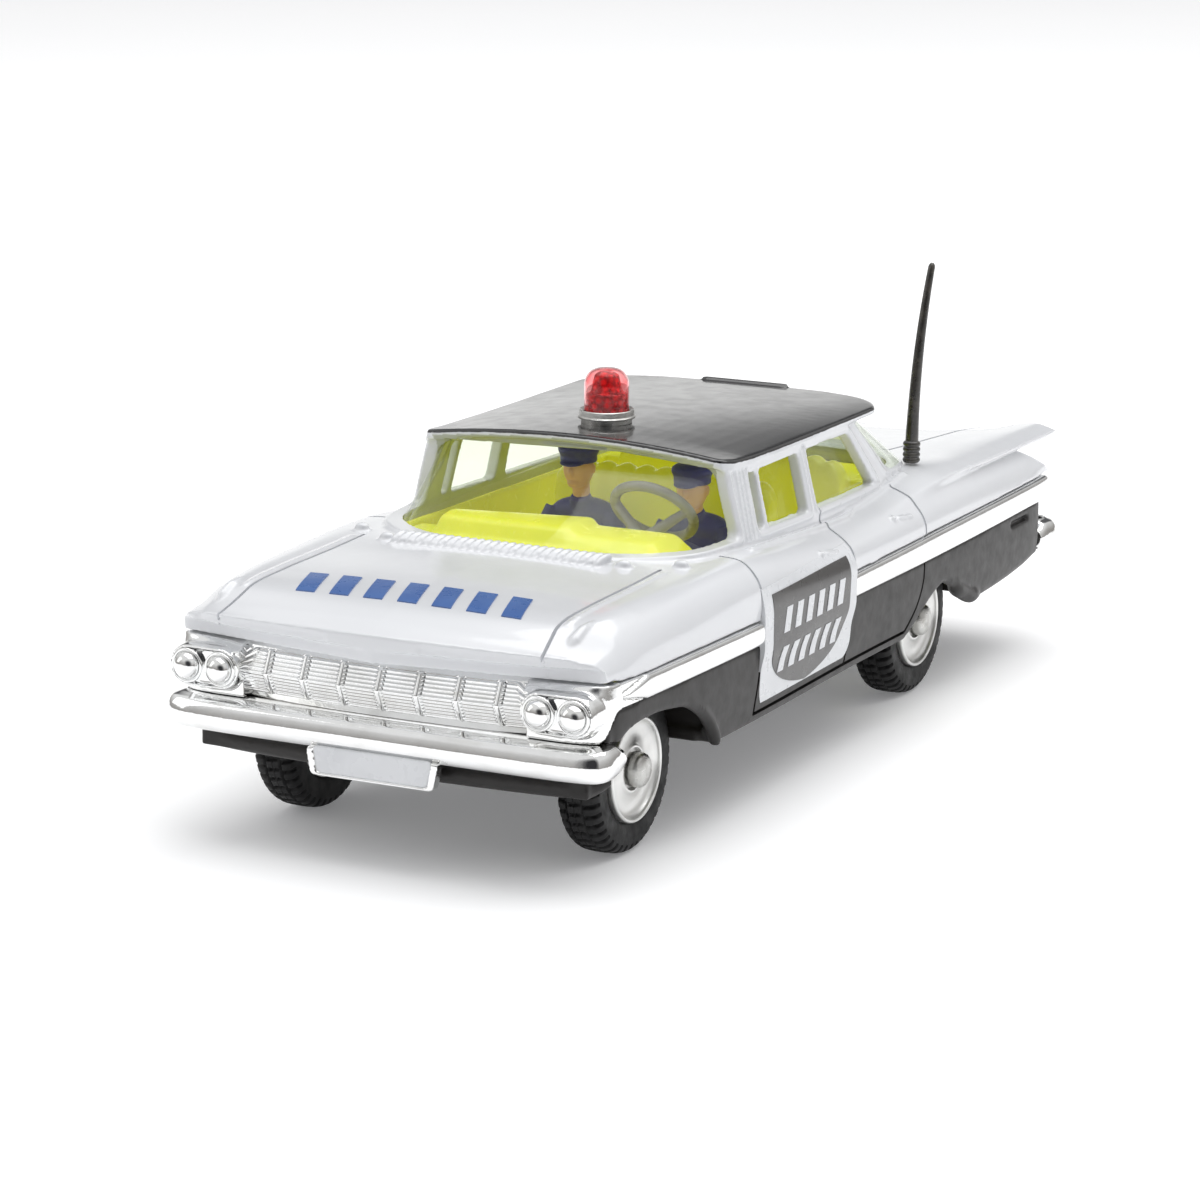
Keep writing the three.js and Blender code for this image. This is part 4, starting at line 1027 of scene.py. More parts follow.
def arch_lips():
    """The rolled edges of the wheel openings, which swell towards the rear."""
    parts = []
    for arch, sizes in ((FRONT_ARCH[:-2], [0.2, 0.42, 0.62, 0.62, 0.5]),
                        (REAR_ARCH[20:-5], [0.1, 0.5, 0.85, 0.85, 0.35])):
        swell = np.interp(np.linspace(0, 1, len(arch)), [0, 0.3, 0.6, 0.9, 1], sizes)
        y, z = arch.T
        line = np.stack([side_x(y) - 0.3 - 0.35 * swell, y, z + 0.1 + 0.2 * swell], -1)
        parts += both(lambda side: tube(line * [side, 1, 1], swell, 12))
    return parts


def axle_slots(axle_y):
    """The upright slots in the lugs that let an axle move, and the opening in the floor over it."""
    low, high = AXLE_Z - 0.85, AXLE_Z + 0.8 + BUMP_TRAVEL + 0.15
    return [block(-13.4, 13.4, axle_y - 0.9, axle_y + 0.9, low, high),
            block(-9.9, 9.9, axle_y - 1.8, axle_y + 1.8, 7, 10)]


def underside_relief():
    """The axle lugs and three raised outlines under the floor."""
    parts = []
    for axle in (FRONT_AXLE_Y, REAR_AXLE_Y):
        lug = [(axle - 2.2, 10.9), (axle + 2.2, 10.9), (axle + 1.9, 5.9), (axle - 1.9, 5.9)]
        parts += [prism(rounded(lug, 0.6), 0, x - 0.7, x + 0.7) for x in (-11.2, 11.2)]
    for x0, x1, y0, y1 in ((-9, 9, -27.5, -13), (-9, 9, -10.5, 4), (-6.5, 6.5, 6.5, 11.5)):
        outer = rounded([(x0, y0), (x1, y0), (x1, y1), (x0, y1)], 1.2)
        parts.append(tube(np.insert(outer, 2, FLOOR_BOTTOM + 0.1, axis=1), 0.35, 8, True))
    return parts


def lower_body():
    """The black tub: open above, with wheel openings, bulkheads beside them and the lip under the bumper."""
    rows = stations((-51.8, -48, 0.3), (-48, 48.6, 0.8))
    tub = lower_loft(0, rows)
    inner_y = stations((-50.5, -47, 0.5), (-47, 47, 1.5))
    hollow_x, low = side_x(inner_y) - WALL, lower_bottom(inner_y) + 1.2
    half = np.array([(0 * inner_y, 20 + 0 * inner_y), (hollow_x, 20 + 0 * inner_y), (hollow_x, low + 0.6),
                     (hollow_x - 0.6, low), (0 * inner_y, low)]).transpose(0, 2, 1)
    ring = whole(half)
    hollow = loft("hollow", np.stack([ring[..., 0], spread(inner_y, ring), ring[..., 1]], -1))
    seats = [block(-20.4, 20.4, -53, -49.9, 13.35, 17), block(-20.4, 20.4, -53, -51.3, 0, 17),
             block(-17, 17, 46, 50, 13.5, 17)]
    boolean(tub, "DIFFERENCE", [hollow, *seats])
    boolean(tub, "DIFFERENCE", arch_cutters())
    slots = both(lambda side: block(*sorted((side * 20.75, side * 24)), 39.2, 44.0, 14.42, 15.0))
    boolean(tub, "DIFFERENCE", slots)
    valance = block(-20, 20, 47.5, 51.9, 9.9, 12.9)
    x = np.linspace(-19.9, 19.9, 70)
    round_end = (np.abs(x) / 19.9) ** 20
    lip = tube(np.stack([x, -51.2 + 0.003 * x * x + 1.6 * round_end, 9.0 + 0.5 * round_end], -1),
               1.05 - 0.4 * round_end, 12)
    bulkheads = [block(x0, x0 + 8, -29.9, -28.9, 8.8, 16.2) for x0 in (-20.2, 12.2)]
    bulkheads += [block(x0, x0 + 7.5, 14.4, 15.4, 8.8, 15.2) for x0 in (-20.3, 12.8)]
    bulkheads.append(block(-19.8, 19.8, -48.7, -47.8, 9.2, 15.6))
    body = together("lower", [tub, valance, lip, *bulkheads, *arch_lips(), *underside_relief()])
    soften(body, FINE * 1.2, 9)
    boolean(body, "DIFFERENCE", [lower_grooves()])
    boolean(body, "DIFFERENCE", axle_slots(FRONT_AXLE_Y) + axle_slots(REAR_AXLE_Y))
    return piece(body, "lower_body_shell", black_paint(), replaces=["lower_body"], crisp=50)


# ---- Plated moulding ----
LAMP_Z, LAMP_XS = 15.95, (15.75, 19.09)
BAR_XS = np.arange(-3, 4) * 3.81
GRILLE = spline([(-51.0, 13.3), (-51.95, 13.35), (-52.1, 13.9), (-53.05, 15.9), (-52.0, 18.05),
                 (-51.6, 18.7), (-50.6, 18.9)], 4, crease=creases(0, 1, 1, 1, 1, 0.6, 0))
RIB_GAP, RIB_HEIGHT = 0.325, 0.13


def grille():
    """The V-fronted grille: fine level ribs between upright arrow-shaped bars, and flutes by the lamps."""
    profile = resample(GRILLE, 0.045)
    x = np.arange(-14.6, 14.61, 0.06)
    normal = -outward(profile)
    gx, gz = np.meshgrid(x, profile[:, 1], indexing="ij")
    bars = np.min(np.abs(gx[..., None] - BAR_XS), -1)
    face = ease(gz, 13.95, 14.1) * (1 - ease(gz, 17.75, 17.9))
    ribs = 0.5 + 0.5 * np.cos(2 * math.pi * (gz - 14.0) / RIB_GAP)
    beside = ease(np.abs(gx) + 0.5 * (gz - 16.6), 13.2, 13.4) * ease(gz, 15.8, 16.4)
    spoke = np.arctan2(gz - LAMP_Z, LAMP_XS[0] - np.abs(gx))
    flutes = 0.5 + 0.5 * np.cos(spoke * 34)
    relief = RIB_HEIGHT * (ribs * (1 - beside) + flutes * beside)
    relief = relief * ease(bars, 0.34, 0.42) - 0.16 * (1 - ease(np.abs(bars - 0.36), 0.03, 0.12))
    relief = (relief + 0.3 * (1 - ease(bars, 0.12, 0.3))) * face
    y = profile[:, 0][None] + normal[:, 0][None] * relief + 0.0036 * gx * gx
    z = gz + normal[:, 1][None] * relief
    front = np.stack([gx, y, z], -1)
    back = np.stack([gx[:, [-1, 0]], np.full((len(x), 2), -49.6), gz[:, [-1, 0]]], -1)
    face = loft("grille", np.concatenate([front, back], 1))
    return piece(face, "grille", plating("grille plating"), replaces=["chrome_trim"], crisp=60)


def stadium(radius, inner, outer, side):
    """The outline round two lamps, whose centres are at inner and outer."""
    angle = np.linspace(-math.pi / 2, math.pi / 2, 16)
    near = np.stack([outer + radius * np.cos(angle), LAMP_Z + radius * np.sin(angle)], -1)
    far = np.stack([inner - radius * np.cos(angle), LAMP_Z - radius * np.sin(angle)], -1)
    return np.concatenate([near, far]) * [side, 1]


def lamp_housings():
    """The twin-lamp pods, and the brow and corner of the moulding that carry them."""

    def pod(side):
        rows = [(-51.0, 1.98), (-52.7, 1.93), (-53.25, 1.82), (-53.45, 1.68), (-53.3, 1.58), (-53.05, 1.52)]
        return loft("pod", [np.insert(stadium(radius, *LAMP_XS, side), 1, y, axis=1) for y, radius in rows])

    def corner(side):
        rows = [(14.0, -52.3), (16, -52.3), (18.5, -52.1), (20.0, -51.7), (20.9, -51.0), (21.25, -50.0),
                (21.3, -48.6)]
        line = resample(spline(rows, 6), 0.3)
        brow = np.interp(line[:, 0], [14, 16, 18.5, 20, 21], [0.75, 0.75, 0.5, 0.2, 0])
        rise = ease(line[:, 1], -51.6, -49.3)
        rings = []
        for point, direction, over, climb in zip(line, outward(line), brow, rise):
            low = 13.35 + 2.5 * climb
            back = over - 1.25 * (over + 0.1) / 0.85
            shape = [(0, low), (0.02, 0.6 * low + 0.4 * LAMP_Z), (0.05, LAMP_Z + 0.3 * climb), (0.1, 17.0),
                     (over, 17.5), (back, 18.35 - 0.15 * climb), (-2.2, 18.8 - 0.5 * climb), (-2.2, low)]
            rings.append([(*(point + direction * push), z) for push, z in shape])
        return loft("corner", np.array(rings) * [side, 1, 1])

    body = soften(together("housing", both(pod) + both(corner)), FINE * 0.8, 3)
    return piece(body, "lamp_housings", plating("housing plating"))


def headlamps():
    """Four plated lenses: a bright dome in a stepped rim."""
    profile = [(1.56, 0), (1.56, 0.28), (1.46, 0.4), (1.34, 0.36), (1.28, 0.18), (1.25, 0.2), (1.18, 0.5),
               (0.98, 0.85), (0.69, 1.1), (0.35, 1.22), (0, 1.25)]
    smooth = spline(profile, 4, crease=creases(1, 0, 0, 0, 1, 1, 0, 0, 0, 0, 0))
    turn = Matrix.Rotation(math.pi / 2, 4, "X")
    lamps = []
    for x in (*LAMP_XS, *(-x for x in LAMP_XS)):
        lamp = moved(lathe([(0, -0.4), (1.56, -0.4), *smooth], 64), turn)
        lamps.append(moved(lamp, Matrix.Translation((x, -53.15, LAMP_Z))))
    bright = plating("lamp plating", (0.03, 0.08))
    return piece(together("lamps", lamps), "headlamps", bright, crisp=40)


def side_spears():
    """The long plated spears: a roll that starts in an arrow point, and a flat strip ahead of it."""
    y = stations((-50.4, -40, 0.25), (-40, 47, 1.0), (47, 50.2, 0.2))
    low, high = spear_bottom(y) + 0.12, spear_top(y) - 0.12
    middle, half = (low + high) / 2, (high - low) / 2
    end = np.sqrt(np.clip(1 - (np.clip(y - 48.6, 0, 1.6) / 1.62) ** 2, 0.02, 1))
    arrow = np.clip((y + 49.3) / 5.0, 0, 1)
    x = side_x(y) - 0.9 * (1 - end)
    rows = [(x - 1.2, middle - half * end)]
    for t in np.linspace(-1, 1, 25):
        across = np.clip(np.abs(t) / np.maximum(arrow, 0.02), 0, 1)
        roll = np.sqrt(1 - across ** 3) * (arrow > 0.02)
        groove = 0.1 * (np.abs(np.abs(t) - arrow * 0.98) < 0.07) * (arrow < 0.97) * (arrow > 0.02)
        rows.append((x + 0.04 + 0.4 * roll * np.minimum(arrow * 3, 1) - groove - 0.1 * (abs(t) > 0.97),
                     middle + half * end * t))
    rows.append((x - 1.2, middle + half * end))
    ring = np.array(rows).transpose(2, 0, 1)
    along = np.broadcast_to((y - 0.5 * np.clip(y - 49.6, 0, 1))[:, None], ring.shape[:2])
    spear = loft("spear", np.stack([ring[..., 0], along, ring[..., 1]], -1))
    pair = together("spears", [copied(spear, MIRROR), spear])
    return piece(pair, "side_spears", plating("spear plating", (0.1, 0.2)), crisp=45)


def rear_cross_bar():
    """The plated bar across the tail, with shallow flutes, and the fluted panel ahead of it."""
    x = np.arange(-20.2, 20.21, 0.1)
    flute = 0.08 * (0.5 + 0.5 * np.cos(2 * math.pi * x / 0.9)) * (np.abs(x) < 12)
    section = [(0, -0.5), (0.1, -0.35), (0.12, 0), (0.1, 0.35), (0, 0.5), (-2.6, 0.5), (-2.6, -0.5)]
    rings = [[(px, 51.5 - 0.0035 * px * px + push + (cut if push > 0 else 0), 16.35 + z)
              for push, z in section] for px, cut in zip(x, flute)]
    piece(loft("bar", rings), "rear_cross_bar", plating("bar plating"), crisp=50)
    panel = loft("panel", [[(px, 46.1 + 0.12 * math.cos(2 * math.pi * px / 0.9), z) for z in (12.6, 18.9)]
                           + [(px, 45.2, z) for z in (18.9, 12.6)] for px in np.arange(-19.5, 19.51, 0.075)])
    return piece(panel, "tail_panel", plating("panel plating", (0.16, 0.28)), crisp=60)


BUMPER_LINE = [(0, -54.2), (8, -54.2), (14, -54.15), (19, -53.9), (21.2, -53.3), (21.98, -52.1),
               (21.98, -50.4), (21.7, -48.4)]


PLATE_VOXEL = 0.1


def bumper(line, depth, lift):
    """A blade carried along a line in plan, with a shelf above and a hollow back."""
    plan = resample(spline(np.array(line, float), 8), 0.35)
    plan = np.concatenate([(plan * [-1, 1])[:0:-1], plan])
    face = [(-0.95, 13.1), (-0.55, 12.95), (-0.22, 12.5), (0, 11.75), (-0.06, 11.3), (-0.22, 10.8),
            (-0.55, 10.35), (-0.85, 10.22)]
    crease = creases(0, 0.4, 0, 0.7, 0.7, 0, 0, 0)
    section = [(-depth, 13.35), (-1.5, 13.3), *spline(face, 4, crease), (-1.05, 10.35), (-0.95, 10.8),
               (-depth, 10.8)]
    swell = 1 - 0.35 * ease(np.abs(np.linspace(-1, 1, len(plan))), 0.94, 1.0)
    rings = [[(*(point + direction * push), 11.5 + (z - 11.5) * scale + lift) for push, z in section]
             for point, direction, scale in zip(plan, outward(plan), swell)]
    return loft("bumper", rings)


def leaning(outline, back, front):
    """A slab between two depths, whose outline of (x, z) leans forward towards its foot."""
    edge = rounded(outline, 0.3, 0.4)
    return loft("slab", [[(x, y + 0.04 * (z - 10), z) for x, z in edge] for y in (back, front)])


def front_bumper():
    """The front blade, and the blank number plate in the frame that hangs from it."""
    blade = soften(bumper(BUMPER_LINE, 2.75, 0), FINE * 0.8, 3)
    chrome = plating("bumper plating", (0.05, 0.12))
    piece(blade, "front_bumper_blade", chrome, replaces=["front_bumper"])
    bracket = [(-6.55, 10.5), (6.55, 10.5), (6.05, 8.0), (-6.05, 8.0)]
    window = [(-5.9, 10.6), (5.9, 10.6), (5.5, 8.25), (-5.5, 8.25)]
    holder, plate = leaning(bracket, -53.2, -54.3), leaning(window, -53.48, -54.22)
    boolean(holder, "DIFFERENCE", [leaning(window, -54.05, -55)])
    soften(holder, PLATE_VOXEL, 2)
    piece(holder, "plate_holder", plating("holder plating", (0.1, 0.2)))
    blank = moulding("blank plate", (0.74, 0.755, 0.78), (0.68, 0.695, 0.72), (0.2, 0.35))
    return piece(soften(plate, PLATE_VOXEL, 2), "number_plate", blank)


def rear_bumper():
    """The rear blade, a narrower front one turned round, and its blank plate."""
    line = [(x * 0.97, y - 0.2) for x, y in BUMPER_LINE]
    blade = moved(bumper(line, 1.3, -0.2), Matrix.Rotation(math.pi, 4, "Z"))
    plate = soften(block(-5.2, 5.2, 53.85, 54.3, 10.2, 12.6), PLATE_VOXEL, 3)
    blank = moulding("rear blank plate", (0.62, 0.625, 0.61), (0.55, 0.56, 0.55))
    piece(plate, "rear_plate", blank)
    chrome = plating("rear plating", (0.05, 0.12))
    soften(blade, FINE * 0.8, 3)
    return piece(blade, "rear_bumper_blade", chrome, replaces=["rear_bumper"])


def tail_lamps():
    """Long eye-shaped lamps under the wings, with a plated rim."""
    red = Finish("tail lamp red", (0.55, 0.0, 0.008), Coat_Weight=0.8, Coat_Roughness=0.05)
    red.speckle(500, 3, (0.4, 0.7), (0.35, 0.0, 0.008))
    red.sheen(900, 3, (0.3, 0.7), (0.12, 0.25))
    red.grain(1200, 2, 0.00004, 0.4)
    rim_finish = plating("tail lamp rim", (0.06, 0.14))
    for side, word in ((1, "left"), (-1, "right")):
        angle = np.linspace(0, 2 * math.pi, 72, endpoint=False)
        eye_x = 12.6 + 5.3 * np.cos(angle)
        lift = 0.75 * np.sin(angle) * (1 - 0.25 * np.cos(angle))
        base_y, base_z = 48.9 - 0.62 * lift, 19.65 + 0.95 * lift
        rim = tube(np.stack([side * eye_x, base_y + 0.32, base_z + 0.1], -1), 0.2, 8, True)
        piece(rim, f"tail_lamp_rim_{word}", rim_finish)
        lens = dome((side * 12.6, 48.6, 19.6), (5.1, 0.85, 0.85), turn=-0.55, rows=24, segments=64)
        piece(lens, f"tail_lens_{word}", red.material, replaces=[f"tail_lamp_{word}"])


# ---- Wheels ----
TREADS = 44
TREAD_STEPS = 14  # sections of the tyre in one tread block and its gap
TYRE_X = 15.2


def tyre_mesh():
    """A tyre on the X axis with chunky staggered tread blocks, a plain sidewall and a bead at the rim."""
    arc = [(4.82, 16.3), (4.82, 17.0), (5.1, 17.22), (5.9, 17.36), (6.6, 17.38), (7.0, 17.28), (7.35, 17.0),
           (7.56, 16.4), (7.62, 15.2)]
    half = resample(spline(arc, 6), 0.09)
    other = np.stack([half[:, 0], TYRE_X - 0.87 * (half[:, 1] - TYRE_X)], -1)[::-1]
    profile = np.concatenate([half, other, [(4.82, 14.1)]])
    turn = np.arange(TREADS * TREAD_STEPS) / TREAD_STEPS
    angle = turn * 2 * math.pi / TREADS
    across = profile[:, 1][:, None] - TYRE_X
    near_tread = ease(profile[:, 0], 6.7, 7.1)[:, None]

    def gap(phase):
        spot = np.abs((turn[None] + phase + 0.5) % 1 - 0.5)
        return 1 - ease(spot, 0.13, 0.21)

    shoulder = ease(np.abs(across), 0.85, 1.0)
    side_gap = gap(0.08 * across + 0.25 * np.sign(across)) * shoulder
    centre_gap = gap(0.5 + 0.12 * across) * (1 - ease(np.abs(across), 0.5, 0.62)) * 0.75
    ring_gap = (1 - ease(np.abs(np.abs(across) - 0.76), 0.07, 0.14)) * 0.8
    cut = 0.5 * np.maximum(np.maximum(side_gap, centre_gap), ring_gap) * near_tread
    radius = profile[:, 0][:, None] - cut
    x = np.broadcast_to(profile[:, 1][:, None], radius.shape)
    rings = np.stack([x, radius * np.cos(angle), radius * np.sin(angle)], -1)
    return loft("tyre", rings, True)


def wheels():
    """Spun hubs with a dished face and rolled rim, rubber tyres, and axles with domed ends."""
    tyre_finish, hub_finish, steel = rubber(), spun_metal(), turned_steel()
    dish = [(0.9, 13.6), (4.72, 13.6), (4.78, 17.4), (4.72, 17.65), (4.58, 17.73), (4.42, 17.65),
            (4.34, 17.4), (4.1, 17.15), (3.6, 16.98), (3.0, 16.95), (2.4, 17.1), (2.1, 17.3), (1.92, 17.3),
            (1.84, 16.8), (0.9, 16.8)]
    crease = creases(1, 1, 0.5, 0, 0, 0, 0.3, 0, 0, 0, 0, 0.4, 0.6, 0.8, 1)
    face = spline(dish, 5, crease)
    to_x = Matrix.Rotation(math.pi / 2, 4, "Y")
    cap = [(0.8, 16.0), (0.8, 16.95), (1.5, 17.0), (1.58, 17.4), (1.58, 17.95), (1.38, 18.33), (0.8, 18.58),
           (0, 18.66)]
    end = spline(cap, 4, crease=creases(1, 1, 0.7, 0, 0, 0, 0, 0))
    rod = np.concatenate([end, (end * [1, -1])[::-1]])
    for axle_y, word in ((FRONT_AXLE_Y, "front"), (REAR_AXLE_Y, "rear")):
        centre = Matrix.Translation((0, axle_y, AXLE_Z))
        axle = moved(lathe(rod[::-1], 40), centre @ to_x)
        piece(axle, f"axle_{word}", steel, f"{word}_axle", [f"{word}_axle"], crisp=45)
        for side, hand in ((1, "left"), (-1, "right")):
            flip = centre @ Matrix.Rotation(0 if side > 0 else math.pi, 4, "Z")
            corner = f"{word}_{hand}"
            body = f"wheel_{corner}"
            hub = moved(lathe(np.concatenate([face, face[:1]]), 96), flip @ to_x)
            piece(hub, f"spun_hub_{corner}", hub_finish, body, [f"hub_{corner}"], crisp=50)
            tyre = moved(tyre_mesh(), flip)
            piece(tyre, f"treaded_tyre_{corner}", tyre_finish, body, [f"tyre_{corner}"])


# ---- Glazing and cabin contents ----
def glazing():
    """The clear moulding inside the cabin: a thin shell, and the backlight's pane that fills its opening."""
    heights = [23.4, 24.5, 26, 28, 30, under_roof(0.3)]
    outer = [cabin_ring(height, -WALL - 0.07) for height in heights]
    inner = [cabin_ring(height, -WALL - 0.55) for height in heights][::-1]
    shell = loft("glass", outer + inner, True)
    reach = abs(HALF_WAY - round_at(12.33))
    panes = []
    for distance in np.linspace(-reach, reach, 70):
        head = float(header_z(np.array([abs(HALF_WAY - abs(distance))]))[0]) - 0.12
        places = [(HALF_WAY + distance, z) for z in np.linspace(23.95, head, 8)]
        panes.append(np.concatenate([wall(places, 0.05), wall(places, -0.75)[::-1]]))
    shell = together("glass", [shell, loft("backlight", panes)])
    return piece(shell, "glazing_shell", clear_plastic(), replaces=["glazing"], crisp=40)


CROWN = 0.035


def cushion(half_width, y0, y1, z0, z1, pleats, lean=0.0):
    """A moulded seat block with a crowned top and front, pleated across its width."""
    section = rounded([(y0, z0), (y1, z0), (y1 + lean, z1), (y0 + lean, z1)], 1.4, 0.35)
    middle = section.mean(0)
    rings = []
    for share in np.linspace(0, 1, 90):
        end = 0.75 + 0.25 * math.sqrt(max(1 - abs(2 * share - 1) ** 8, 0))
        wave = 0.22 * abs(math.sin(math.pi * pleats * share))
        ring = middle + (section - middle) * end * (1 + (wave + CROWN) / 3)
        rings.append(np.insert(ring, 0, (2 * share - 1) * half_width, axis=1))
    return loft("cushion", rings)


DASH_SHELF_Z = 23.25


def dash():
    """A low shelf along the windscreen with a raised block, which steps down ahead of the driver."""
    x = stations((-14.6, -11, 0.2), (-11, -9.2, 0.1), (-9.2, 2.6, 0.5), (2.6, 4.6, 0.1), (4.6, 14.6, 0.3))
    top = DASH_SHELF_Z + 1.75 * ease(x, -10.5, -9.7) - 0.55 * ease(x, 2.9, 4.2) - 1.3 * ease(x, 11.6, 13.9)
    top = np.maximum(top - 1.2 * ease(np.abs(x), 13.3, 14.4), 22.1)
    front, rear = -28.2 + 0.011 * x * x, -21.4 + 0.21 * np.clip(x + 10, 0, 13) - 0.5 * ease(x, 3, 4.2)
    low, rise = np.minimum(top, DASH_SHELF_Z), np.maximum(top - DASH_SHELF_Z, 0)
    section = [(front, 21.6 + 0 * x), (front + 0.1, low - 0.35), (front + 0.6, low - 0.1),
               (-25.9 + 0 * x, low + 0.12 * rise), (-25.3 + 0 * x, low + 0.45 * rise),
               (-24.5 + 0 * x, low + 0.88 * rise), (-23.6 + 0 * x, top), (rear - 0.8, top),
               (rear, top - 0.5 * np.minimum(rise + 0.5, 1)), (rear + 0.1, 21.6 + 0 * x)]
    rings = [np.insert(spline(np.array(section)[:, :, i], 4), 0, px, axis=1) for i, px in enumerate(x)]
    return loft("dash", rings)


def interior():
    """The lime moulding: floor, toeboard, dash, two bench seats, parcel shelf and door panels."""
    floor, toeboard = block(-12.6, 12.6, -27, 19, 9.9, 11), block(-12.6, 12.6, -27, -25.6, 10.4, 22)
    parts = [floor, toeboard, dash()]
    parts += [cushion(11.6, -9, 0.2, 10.5, 15.5, 7), cushion(11.6, 0.2, 3.0, 11, 24.9, 11, 0.6),
              cushion(11.8, 7.6, 15.2, 10.5, 14.9, 7), cushion(12.3, 15.2, 18.3, 11, 24.3, 11, 0.5)]
    edge = [(14.6, 17.5), (14.4, 21.5), (12.8, 24.2), (10.5, 25.6)]
    shelf = [(-14.6, 17.5), *edge, *[(-x, y) for x, y in edge[:0:-1]]]
    parts.append(prism(rounded(shelf, 1.0), 2, 21.2, 22.6))
    panel = rounded([(-25.6, 11), (13.4, 11), (13.9, 16.7), (24.0, 16.7), (24.0, 22.3), (17.5, 22.6),
                     (-24.5, 23.2), (-26.4, 21.5)], 0.8)
    for side in (1, -1):
        parts.append(prism(panel, 0, *sorted((side * 14.5, side * 15.2))))
        parts.append(tube([(side * 14.2, y, 19.6 + 0.02 * y) for y in np.linspace(-12, -3, 10)], 0.55, 10))
    body = soften(together("interior", parts), FINE * 1.4, 4)
    # The lime gets a painted glow from its last number, which lifts it where the cabin is in shade.
    lime = moulding("lime moulding", LIME, (0.60, 0.62, 0.03), (0.16, 0.3), 0.08, 0.3)
    return piece(body, "cabin_moulding", lime, replaces=["interior"])


def steering_wheel():
    """A round rim on two spokes that run down to a deep-set boss, tilted on its column."""
    angle = np.linspace(0, 2 * math.pi, 72, endpoint=False)
    rim = tube(np.stack([3.85 * np.cos(angle), 3.85 * np.sin(angle), 0 * angle], -1), 0.5, 12, True)
    boss = dome((0, 0, -3.3), (0.9, 0.9, 0.7), rows=14, segments=28)
    column = tube([(0, 0, -3.2), (0, 0, -4.6)], 0.5, 14)
    parts = [rim, boss, column]
    for direction in (-2.95, -0.2):
        reach = np.linspace(0.3, 3.75, 12)
        line = np.stack([reach * math.cos(direction), reach * math.sin(direction), -3.3 + 0.88 * reach], -1)
        parts.append(tube(line, np.linspace(0.6, 0.42, 12), 12))
    wheel = soften(together("wheel", parts), FINE * 0.7, 3)
    place = Matrix.Translation((7.6, -15.4, 25.2)) @ Matrix.Rotation(-0.84, 4, "X")
    grey = moulding("grey moulding", (0.26, 0.235, 0.225), (0.36, 0.34, 0.33), (0.2, 0.36))
    moved(wheel, place)
    return piece(wheel, "steering_wheel_rim", grey, replaces=["steering_wheel"])


SEAT_Z = 15.6


def figures():
    """Two seated officers: tunic, arms reaching forward, plain head and peaked cap."""
    # Both mouldings get a small painted glow from their last number, which lifts the figures where the cabin
    # is in shade.
    navy = moulding("navy moulding", (0.055, 0.05, 0.31), (0.07, 0.068, 0.37), (0.35, 0.5), 0.0, 0.06)
    skin = moulding("skin-coloured paint", (0.80, 0.46, 0.24), (0.72, 0.40, 0.2), (0.35, 0.5), 0.1, 0.1)
    # Each head's centre, and where the hands are beside and ahead of it and their height.
    for name, head, hands in (("driver", (6.5, -5.2, 25.3), (1.9, 7.2, 21.6)),
                              ("passenger", (-6.1, -4.2, 26.0), (1.5, 3.6, 16.9))):
        x, y, z = head
        apart, ahead, height = hands
        shell = [dome((x, y + 1.6, 18.4), (3.1, 2.2, 4.3)), dome((x, y + 1.4, 21.4), (3.5, 1.75, 1.5))]
        for side in (1, -1):
            arm = spline([(x + side * 3.1, y + 1.3, 21.4), (x + side * 3.8, y + 0.4, 19.6),
                          (x + side * 3.7, y - 0.6, 18.6), (x + side * apart, y - ahead, height)], 5)
            shell.append(tube(arm, np.linspace(1.15, 0.7, len(arm)), 14))
        shell.append(tube([(x, y + 1.0, 21.8), (x, y + 0.3, 23.2)], [1.3, 1.0], 16))
        tunic = soften(together("tunic", shell), FINE, 4)
        points = coordinates(tunic)
        points[:, 2] = np.maximum(points[:, 2], SEAT_Z)
        tunic.data.vertices.foreach_set("co", points.ravel())
        piece(tunic, f"{name}_tunic", navy, replaces=[name])
        skull = dome(head, (1.45, 1.6, 1.95))
        neck = tube([(x, y + 0.4, z - 1.2), (x, y + 0.6, z - 2.8)], 0.85, 16)
        nose = dome((x, y - 1.5, z - 0.25), (0.3, 0.42, 0.5), rows=12, segments=20)
        chin = dome((x, y - 0.55, z - 1.35), (0.85, 0.95, 0.6), rows=14, segments=24)
        ears = [dome((x + side * 1.45, y + 0.15, z), (0.24, 0.42, 0.55), rows=10, segments=16)
                for side in (1, -1)]
        parts = [skull, nose, chin, neck, *ears]
        piece(soften(together("head", parts), FINE * 0.7, 3), f"{name}_head", skin)
        crown = [(0, 0.6), (1.72, 0.62), (1.78, 1.25), (2.0, 1.75), (1.9, 2.15), (1.2, 2.5), (0, 2.6)]
        cap = moved(lathe(spline(crown, 4), 48), Matrix.Translation(head))
        peak = dome((x, y - 1.25, z + 0.72), (1.3, 1.15, 0.22), turn=0.18, rows=14, segments=32)
        piece(soften(together("cap", [cap, peak]), FINE * 0.7, 3), f"{name}_cap", navy)


# ---- Roof beacon and aerial ----
BEACON_Y, ROOF_Z = -10.3, 32.06
AERIAL_FOOT_Z, AERIAL_TIP_Z = 23.56, 43.24


